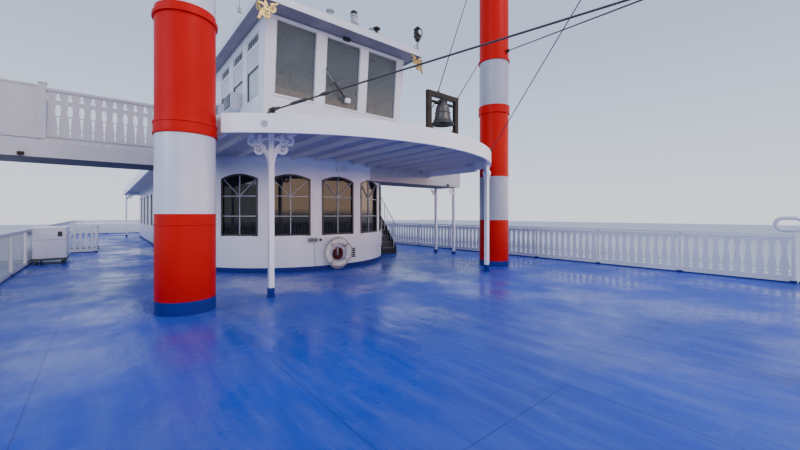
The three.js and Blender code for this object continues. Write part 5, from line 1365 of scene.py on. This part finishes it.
def make_life_ring():
    """The life ring with its lashings, grab ropes, coil and hook."""
    shape = Shape()
    x = CABIN_X + CABIN_RADIUS + 0.09 + LIFE_RING["tube"]
    z = THIRD_Z + LIFE_RING["z"]
    radius, tube = LIFE_RING["radius"], LIFE_RING["tube"]
    turns = [2 * math.pi * i / 72 for i in range(72)]
    uneven = [tube * (0.975 + 0.025 * math.sin(5 * t + 1) * math.sin(9 * t)) for t in turns]
    shape.tube([on_ring(x, z, t, radius) for t in turns], uneven, "ring", 20, closed=True)
    lashing = circle(radius, 0, tube + 0.004, steps=20)
    for quarter in range(4):
        middle = math.pi / 4 + quarter * math.pi / 2
        for side in (-0.09, 0.0, 0.09):
            loop = [on_ring(x, z, middle + side, reach, out) for reach, out in lashing]
            shape.tube(loop, 0.007, "rope", 6, closed=True)
        start, end = middle + 0.12, middle + math.pi / 2 - 0.12
        rope = [on_ring(x, z, start + (end - start) * i / 10,
                        radius + tube + 0.010 + 0.02 * math.sin(math.pi * i / 10))
                for i in range(11)]
        shape.tube(rope, 0.013, "rope", 8)
    for strand in range(7):
        reach = 0.045 + 0.015 * strand
        out = x - 0.05 + 0.022 * (strand % 3)
        drop = [math.pi + math.pi * i / 10 for i in range(11)]
        bend = [(out, reach * math.cos(t), z - 0.05 + reach * math.sin(t)) for t in drop]
        path = [(out, -reach * 0.9, z + 0.13 - 0.008 * strand), *bend,
                (out, reach * 0.9, z + 0.14 - 0.01 * strand)]
        shape.tube(path, 0.017, "dark_rope" if strand % 3 else "black_plastic", 8)
    wall = CABIN_X + CABIN_RADIUS
    shape.box((wall - 0.005, x), (-0.03, 0.03), (z + radius - 0.02, z + radius + 0.02), "grey_plastic")
    shape.box((wall, x + 0.02), (-0.02, 0.02), (z + radius + tube + 0.001, z + radius + tube + 0.02),
              "grey_plastic")
    shape.tube([(wall, 0, z + 0.14), (x, 0, z + 0.16)], 0.015, "steel", 8)
    shape.make("life_ring_roped", replaces=("life_ring",))


def on_ring(x, z, turn, reach, out=0.0):
    """A point round the life ring's axis, at an angle from its top."""
    return Vector((x + out, reach * math.sin(turn), z + reach * math.cos(turn)))


LOCKER = {"aft": 2.2, "fore": 3.4, "low": -6.57, "high": -5.77, "height": 1.12, "leg": 0.13}


def rounded_rect(x0, x1, y0, y1, radius):
    """A rectangle with round corners."""
    corners = ((x1 - radius, y1 - radius, 0), (x0 + radius, y1 - radius, 90),
               (x0 + radius, y0 + radius, 180), (x1 - radius, y0 + radius, 270))
    return [p for x, y, start in corners for p in circle(x, y, radius, start, start + 90, 5)]


def make_locker():
    """The deck locker on its wheeled frame."""
    shape = Shape()
    aft, fore, low, high = (LOCKER[key] for key in ("aft", "fore", "low", "high"))
    base = THIRD_Z
    foot = base + LOCKER["leg"]
    top = base + LOCKER["height"]
    layers = ((0.01, foot, foot + 0.06, "engine"), (0.02, foot + 0.06, base + 0.73, "white"),
              (0.025, base + 0.73, base + 0.745, "grey_plastic"), (0.02, base + 0.745, top - 0.06, "white"),
              (0.0, top - 0.06, top - 0.015, "white"), (0.03, top - 0.015, top, "white"))
    for inset, bottom, ceiling, paint in layers:
        outline = rounded_rect(aft + inset, fore - inset, low + inset, high - inset, 0.045)
        shape.prism(outline, bottom, ceiling, LEVEL, paint)
    for y, out in ((high - 0.019, 1), (low + 0.019, -1)):
        shape.box((aft + 0.15, aft + 0.30), sorted((y, y + out * 0.012)), (base + 0.85, base + 0.95),
                  "grey_plastic")
    shape.box((fore - 0.019, fore - 0.005), (high - 0.22, high - 0.12), (base + 0.83, base + 0.98),
              "black_plastic")
    for x in (aft + 0.12, fore - 0.12):
        for y in (low + 0.12, high - 0.12):
            shape.prism(circle(0, 0, 0.06, steps=16), -0.02, 0.02, upright(x, y, base + 0.062), "rubber")
            shape.box(about(x, 0.035), about(y, 0.035), (base + 0.09, foot + 0.005), "steel")
    shape.make("deck_locker_cart", replaces=("deck_locker",))


# Stairs: plate steps between black stringers, with white handrails

STAIRS = (
    {"node": "stair_to_second_deck", "foot": 19.2, "head": 15.2, "low": -3.1, "high": -2.1,
     "from": MAIN_Z, "to": SECOND_Z},
    {"node": "stair_to_third_deck", "foot": 0.2, "head": -3.6, "low": -6.1, "high": -5.15,
     "from": SECOND_Z, "to": THIRD_Z},
    {"node": "stair_to_roof", "foot": 7.4, "head": 4.85, "low": 3.17, "high": 3.86,
     "from": THIRD_Z, "to": ROOF_Z},
)
STEPS = 14


def make_stairs():
    """The three stairs, each with its steps, stringers and handrails."""
    for stair in STAIRS:
        shape = Shape()
        way = math.copysign(1, stair["head"] - stair["foot"])
        run = abs(stair["head"] - stair["foot"])
        top = stair["to"] - stair["from"]
        rise, going = top / STEPS, run / (STEPS - 1)
        place = upright(stair["foot"], 0, stair["from"], 0 if way > 0 else math.pi)
        low, high = (-stair["high"], -stair["low"]) if way > 0 else (stair["low"], stair["high"])
        across = (low + 0.02, high - 0.02)
        for i in range(STEPS - 1):
            x, z = i * going, (i + 1) * rise
            shape.box((x - 0.02, x + going + 0.01), (z - 0.035, z), across, "stair", place)
            shape.box((x + going - 0.01, x + going), (z - 0.01, z + rise - 0.03), across, "stair", place)
            for k in range(5):
                grip = x + 0.03 + k * 0.05
                shape.box((grip, grip + 0.02), (z, z + 0.004), (low + 0.05, high - 0.05), "steel", place)
        stringer = [(-0.02, 0.002), (0.30, 0.002), (run, top - 0.36), (run, top - 0.005),
                    (run - going, top - 0.005), (-0.02, rise + 0.03)]
        if stair["node"] == "stair_to_roof":
            stringer[1:2] = [(0.9, 0.002), (0.9, top * 0.25)]
            shape.box((-0.015, 0.0), (0.002, rise - 0.03), across, "black", place)
        for z in (low, high - 0.02):
            shape.prism(stringer, z, z + 0.02, place, "black")
        for z in (low + 0.045, high - 0.045):
            stair_rail(shape, place, z, run, top)
        if stair["node"] == "stair_to_third_deck":
            well_rail(shape, stair)
        shape.make(f"{stair['node']}_plated", replaces=(stair["node"],))


def stair_rail(shape, place, z, run, top):
    """Handrail, middle rail and balusters along one side of a stair."""
    rise, going = top / STEPS, run / (STEPS - 1)
    for height, radius in ((0.9, 0.019), (0.48, 0.010)):
        ends = ((0, rise + height, z), (run, top + height, z))
        shape.tube([place @ Vector(p) for p in ends], radius, "rail", 10)
    for i in range(STEPS):
        last = i == STEPS - 1
        x = run if last else (i + 0.5) * going
        foot = top - 0.02 if last else (i + 1) * rise
        baluster = [place @ Vector((x, foot - 0.03, z)), place @ Vector((x, rise + 0.9 + x * top / run, z))]
        shape.tube(baluster, 0.015 if i % 3 == 0 else 0.007, "rail", 8)


def well_rail(shape, stair):
    """White railing along the inboard side and the fore end of the side stair's well."""
    inboard, outboard = stair["high"] - 0.005, stair["low"] + 0.005
    start, end = stair["foot"] - 0.715, stair["head"] + 0.1
    rail_run(shape, (end, inboard), (start, inboard), THIRD_Z, bay=1.5)
    rail_run(shape, (start, outboard), (start, inboard), THIRD_Z, bay=1.0, ends=(True, False))
    for x, y in ((start, outboard + 0.03), (start, inboard), (start - 1.635, inboard),
                 (end + 0.15, inboard)):
        share = (x - stair["foot"]) / (stair["head"] - stair["foot"])
        foot = stair["from"] + share * (stair["to"] - stair["from"])
        shape.box(about(x, 0.03), about(y, 0.025), (foot - 0.1, THIRD_Z + 0.05), "rail")


# Rigging: guys and halyards with shackles, and the turnbuckle on the long stay

MAST = {"x": 18.4, "head": 7.15, "eye": 3.97, "spreader": 0.85, "steps": 14}


def make_rigging():
    """Guys, the port stay, their eyes, and the starboard stay's turnbuckle."""
    shape = Shape()
    stack_x, stack_y = STACK_X, STACK_Y["port"]
    lines = (
        ((13.05, 0.41, ROOF_Z + 0.91), (stack_x - 0.30, stack_y - 0.36, THIRD_Z + 9.0)),
        ((13.05, 1.0, ROOF_Z + 0.88), (stack_x - 0.286, stack_y - 0.347, THIRD_Z + 6.0)),
        ((12.59, 2.83, ROOF_Z + 0.04), (MAST["x"] - 0.09, 0.03, THIRD_Z + MAST["head"])),
    )
    for start, end in lines:
        shape.tube([start, end], 0.011, "wire", 6)
        x, y, z = start
        shape.box(about(x, 0.03), about(y, 0.02), (z - 0.041, z + 0.02), "iron")
    eye = Vector((12.59, -2.83, ROOF_Z + 0.06))
    mast = Vector((MAST["x"] - 0.16, -0.045, THIRD_Z + MAST["eye"] - 0.06))
    way = (mast - eye).normalized()
    shape.tube([eye, eye + way * 0.12], [0.030, 0.018], "wire", 10)
    for start, length, thick in ((0.33, 0.34, 0.026), (0.90, 0.17, 0.028)):
        reaches = (start, start + 0.05, start + length - 0.05, start + length)
        shape.tube([eye + way * reach for reach in reaches], [0.016, thick, thick, 0.016], "wire", 10)
    shape.make("guys_and_turnbuckle")


def make_mast_fittings():
    """Cleat, spreader drops, halyards, lantern and steps on the foremast."""
    shape = Shape()
    x, base = MAST["x"], THIRD_Z
    for z in (1.2, 1.35):
        for y in (-0.02, 0.02):
            shape.tube([(x - 0.1, y, base + z), (x - 0.17, y, base + z)], 0.012, "iron", 8)
    shape.tube([(x - 0.16, 0, base + 1.14), (x - 0.16, 0, base + 1.42)], 0.014, "iron", 8)
    for sign in (-1, 1):
        y = sign * MAST["spreader"]
        shape.tube([(x, y, base + 6.16), (x, y, base + 6.0)], [0.02, 0.03], "iron", 8)
        shape.tube([(x - 0.02, y, base + 6.0), (x - 0.155, sign * 0.02, base + 1.4)], 0.006, "rope", 6)
    lantern = [(0, 0), (0.05, 0), (0.06, 0.03), (0.045, 0.05), (0.045, 0.14), (0.06, 0.16), (0.02, 0.2),
               (0, 0.2)]
    shape.lathe(lantern, at(x - 0.15, 0, base + 5.2), "lamp", 16)
    shape.box((x - 0.16, x - 0.05), (-0.02, 0.02), (base + 5.17, base + 5.2), "iron")
    for i in range(MAST["steps"]):
        z = base + 0.5 + i * 0.33
        shape.box(about(x, 0.02), (-0.19, 0.19), (z, z + 0.02), "steel")
    shape.make("mast_fittings")


# Doors: glass and knobs ride on their doors, casings stay with the walls

DOOR = {"width": 0.85, "height": 2.05, "low": 0.07}
KNOB = ((0.03, 0), (0.03, 0.008), (0.012, 0.01), (0.012, 0.03), (0.026, 0.036), (0.026, 0.05), (0, 0.06))
DOORS = (
    ("door_main_house", HOUSES[0]["front"], -DOOR["width"] / 2, MAIN_Z, math.pi / 2),
    ("door_second_house", HOUSES[1]["front"], -DOOR["width"] / 2, SECOND_Z, math.pi / 2),
    ("door_cabin_starboard", CABIN_DOOR_X - DOOR["width"] / 2, -CABIN_RADIUS, THIRD_Z, 0.0),
    ("door_cabin_port", CABIN_DOOR_X + DOOR["width"] / 2, CABIN_RADIUS, THIRD_Z, math.pi),
    ("door_pilothouse", PILOT["aft"], 0.225, ROOF_Z, -math.pi / 2),
)


def make_doors():
    """Glass, wooden panels, kick plates and knobs on the doors."""
    for name, x, y, floor, turn in DOORS:
        place = upright(x, y, floor + DOOR["low"], turn)
        shape = Shape()
        width, height = DOOR["width"], DOOR["height"]
        glass_low, glass_high = 1.05, height - 0.2
        pane = (glass_low - 0.004, glass_high + 0.004)
        shape.box((0.176, width - 0.176), pane, (-0.03, -0.02), "window", place)
        panel = rect(0.16, width - 0.16, 0.16, 0.95)
        shape.prism(panel, -0.001, 0.009, place, "wood", [rect(0.20, width - 0.20, 0.20, 0.91)])
        frame_outline = rect(0.15, width - 0.15, glass_low - 0.03, glass_high + 0.03)
        shape.prism(frame_outline, -0.001, 0.008, place, "wood",
                    [rect(0.18, width - 0.18, glass_low, glass_high)])
        shape.box((0.12, width - 0.12), (0.02, 0.14), (-0.001, 0.003), "gold", place)
        knob = place @ at(width - 0.08, 1.0, 0)
        shape.lathe(KNOB, knob, "gold", 16)
        shape.make(f"{name}_fittings", name)


# Main deck's edge and the paddle wheel's irons

GUARD = {"half": 7.0, "aft": -17.4, "straight": 16.0, "taper": 8.4, "power": 2.2}


def guard_half(x):
    """Half the main deck's width, which tapers to the bow."""
    share = max(0, x - GUARD["straight"]) / GUARD["taper"]
    return GUARD["half"] * (1 - share ** GUARD["power"])


def make_guards():
    """Rubbing strake round the main deck's edge, and bitts on it."""
    shape = Shape()
    stations = (GUARD["aft"], 16.0, 16.8, 17.5, 18.3, 19.0, 19.7, 20.3, 20.9, 21.4, 21.9, 22.3, 22.7, 23.0,
                23.3, 23.6, 23.8)
    path = [(x, guard_half(x)) for x in stations]
    for sign in (1, -1):
        line = [(x - 0.02, sign * (y - 0.045), MAIN_Z - 0.075) for x, y in path]
        shape.tube(line, 0.045, "rubber", 8)
    bitt = [(0, 0), (0.11, 0), (0.11, 0.36), (0.14, 0.38), (0.14, 0.42), (0, 0.44)]
    for x, half in ((-16.5, 5.9), (21.9, guard_half(21.9) - 1.0)):
        for y in (-half, half):
            for bitt_x in about(x, 0.22):
                shape.lathe(bitt, at(bitt_x, y, MAIN_Z - 0.001), "iron", 16)
            shape.box(about(x, 0.4), about(y, 0.16), (MAIN_Z - 0.001, MAIN_Z + 0.03), "iron")
    shape.make("guards_and_bitts")


WHEEL = {"x": -21.4, "z": 3.2, "frame_y": 3.75, "floats": 12}


def make_wheel_fittings():
    """Iron hub flanges, float bolts and stay straps on the paddle wheel."""
    shape = Shape()
    for k in (-1, 0, 1):
        across = upright(WHEEL["x"], k * WHEEL["frame_y"], WHEEL["z"])
        for side in (-1, 1):
            face = side * 0.045
            low, high = sorted((face, face + side * 0.03))
            shape.prism(circle(0, 0, 0.36, steps=28), low, high, across, "iron",
                        [circle(0, 0, 0.141, steps=24)])
        for i in range(WHEEL["floats"]):
            turn = math.pi + i * 2 * math.pi / WHEEL["floats"]
            arm = across @ Matrix.Rotation(turn, 4, "Z")
            for reach in (0.30, 2.0, 2.2):
                bolt = arm @ at(reach, 0, 0)
                shape.prism(circle(0, 0, 0.03, steps=6), -0.09, 0.09, bolt, "iron")
            for reach in (2.05, 2.45):
                shape.box((reach, reach + 0.09), (-0.045, 0.045), (-0.12, 0.12), "iron", arm)
    shape.make("paddle_wheel_irons", "paddle_wheel")


# Scene: camera, world, soft lights and the pale floor at the waterline

# place and direction in the model's frame; lens and sensor in millimetres
VIEW = {"place": (9.15, -2.465, 4.795), "way": (-0.772, 0.636, 0), "lens": 16.2, "sensor": 36,
        "shift": -0.013}


def make_camera():
    """The photo's own view."""
    camera_data = bpy.data.cameras.new("Camera")
    camera = bpy.data.objects.new("Camera", camera_data)
    bpy.context.scene.collection.objects.link(camera)
    camera.location = VIEW["place"]
    camera.rotation_euler = Vector(VIEW["way"]).to_track_quat("-Z", "Y").to_euler()
    camera_data.lens = VIEW["lens"]
    camera_data.sensor_width = VIEW["sensor"]
    camera_data.shift_y = VIEW["shift"]
    camera_data.clip_start = 0.05
    bpy.context.scene.camera = camera


def make_light(name, place, aim, size, power, colour):
    """A round soft light, turned to what it lights."""
    data = bpy.data.lights.new(name, "AREA")
    data.shape = "DISK"
    data.size = size
    data.energy = power
    data.color = colour
    light = bpy.data.objects.new(name, data)
    light.location = place
    light.rotation_euler = (Vector(aim) - Vector(place)).to_track_quat("-Z", "Y").to_euler()
    bpy.context.scene.collection.objects.link(light)


# direction that the glow lies in, and its colour
GLOW = {"way": (0.866, 0.5, 0.0), "colour": (4.2, 2.9, 2.1)}
SKY_STRENGTH = 1.35


def make_world():
    """Pale even sky, brightest at the horizon, with a warm glow low over the bow."""
    world = bpy.data.worlds.new("World")
    bpy.context.scene.world = world
    world.use_nodes = True
    n = Tree(world.node_tree)
    way = n.new("ShaderNodeTexCoord").outputs["Generated"]
    height = n.new("ShaderNodeSeparateXYZ", Vector=way).outputs["Z"]
    towards = n.new("ShaderNodeVectorMath", Vector=way)
    towards.operation = "DOT_PRODUCT"
    towards.inputs[1].default_value = GLOW["way"]
    sky = n.ramp(height, [(0.0, (0.84, 0.86, 0.94)), (0.16, (0.68, 0.77, 0.96)), (0.4, (0.46, 0.55, 0.76)),
                          (1.0, (0.42, 0.50, 0.70))])
    band = n.ramp(height, [(0.0, 0.0), (0.015, 1.0), (0.12, 1.0), (0.19, 0.0)])
    lobe = n.ramp(towards.outputs["Value"], [(0.47, 0.0), (0.57, 1.0)])
    background = n.tree.nodes["Background"]
    n.set(background.inputs["Color"], n.mix(n.math("MULTIPLY", band, lobe), sky, GLOW["colour"]))
    background.inputs["Strength"].default_value = SKY_STRENGTH


def make_studio():
    """Sky, two soft lights and the floor."""
    make_world()
    make_light("key", (28, 6, 26), (3, 0, 4), 16, 3200, (1.0, 0.97, 0.94))
    make_light("fill", (10, -26, 14), (4, 0, 5), 14, 2000, (0.86, 0.9, 1.0))
    bpy.ops.mesh.primitive_plane_add(size=400, location=(0, 0, WATER_Z))
    floor = bpy.context.object
    floor.name = "floor"
    n = Nodes("floor_pale")
    n.bump(n.noise(3.0, 3), 0.05, 0.01)
    material = n.finish(n.mix(n.noise(0.4, 3), (0.64, 0.66, 0.70), (0.68, 0.70, 0.74)), 0.6)
    floor.data.materials.append(material)


make_camera()
make_studio()
make_rails()
make_main_rails()
make_house_windows()
make_cabin_front()
make_cabin_sides()
make_roof()
make_wings()
make_pilothouse()
make_pilot_roof()
make_stacks()
make_bell()
make_life_ring()
make_locker()
make_stairs()
make_rigging()
make_mast_fittings()
make_doors()
make_guards()
make_wheel_fittings()
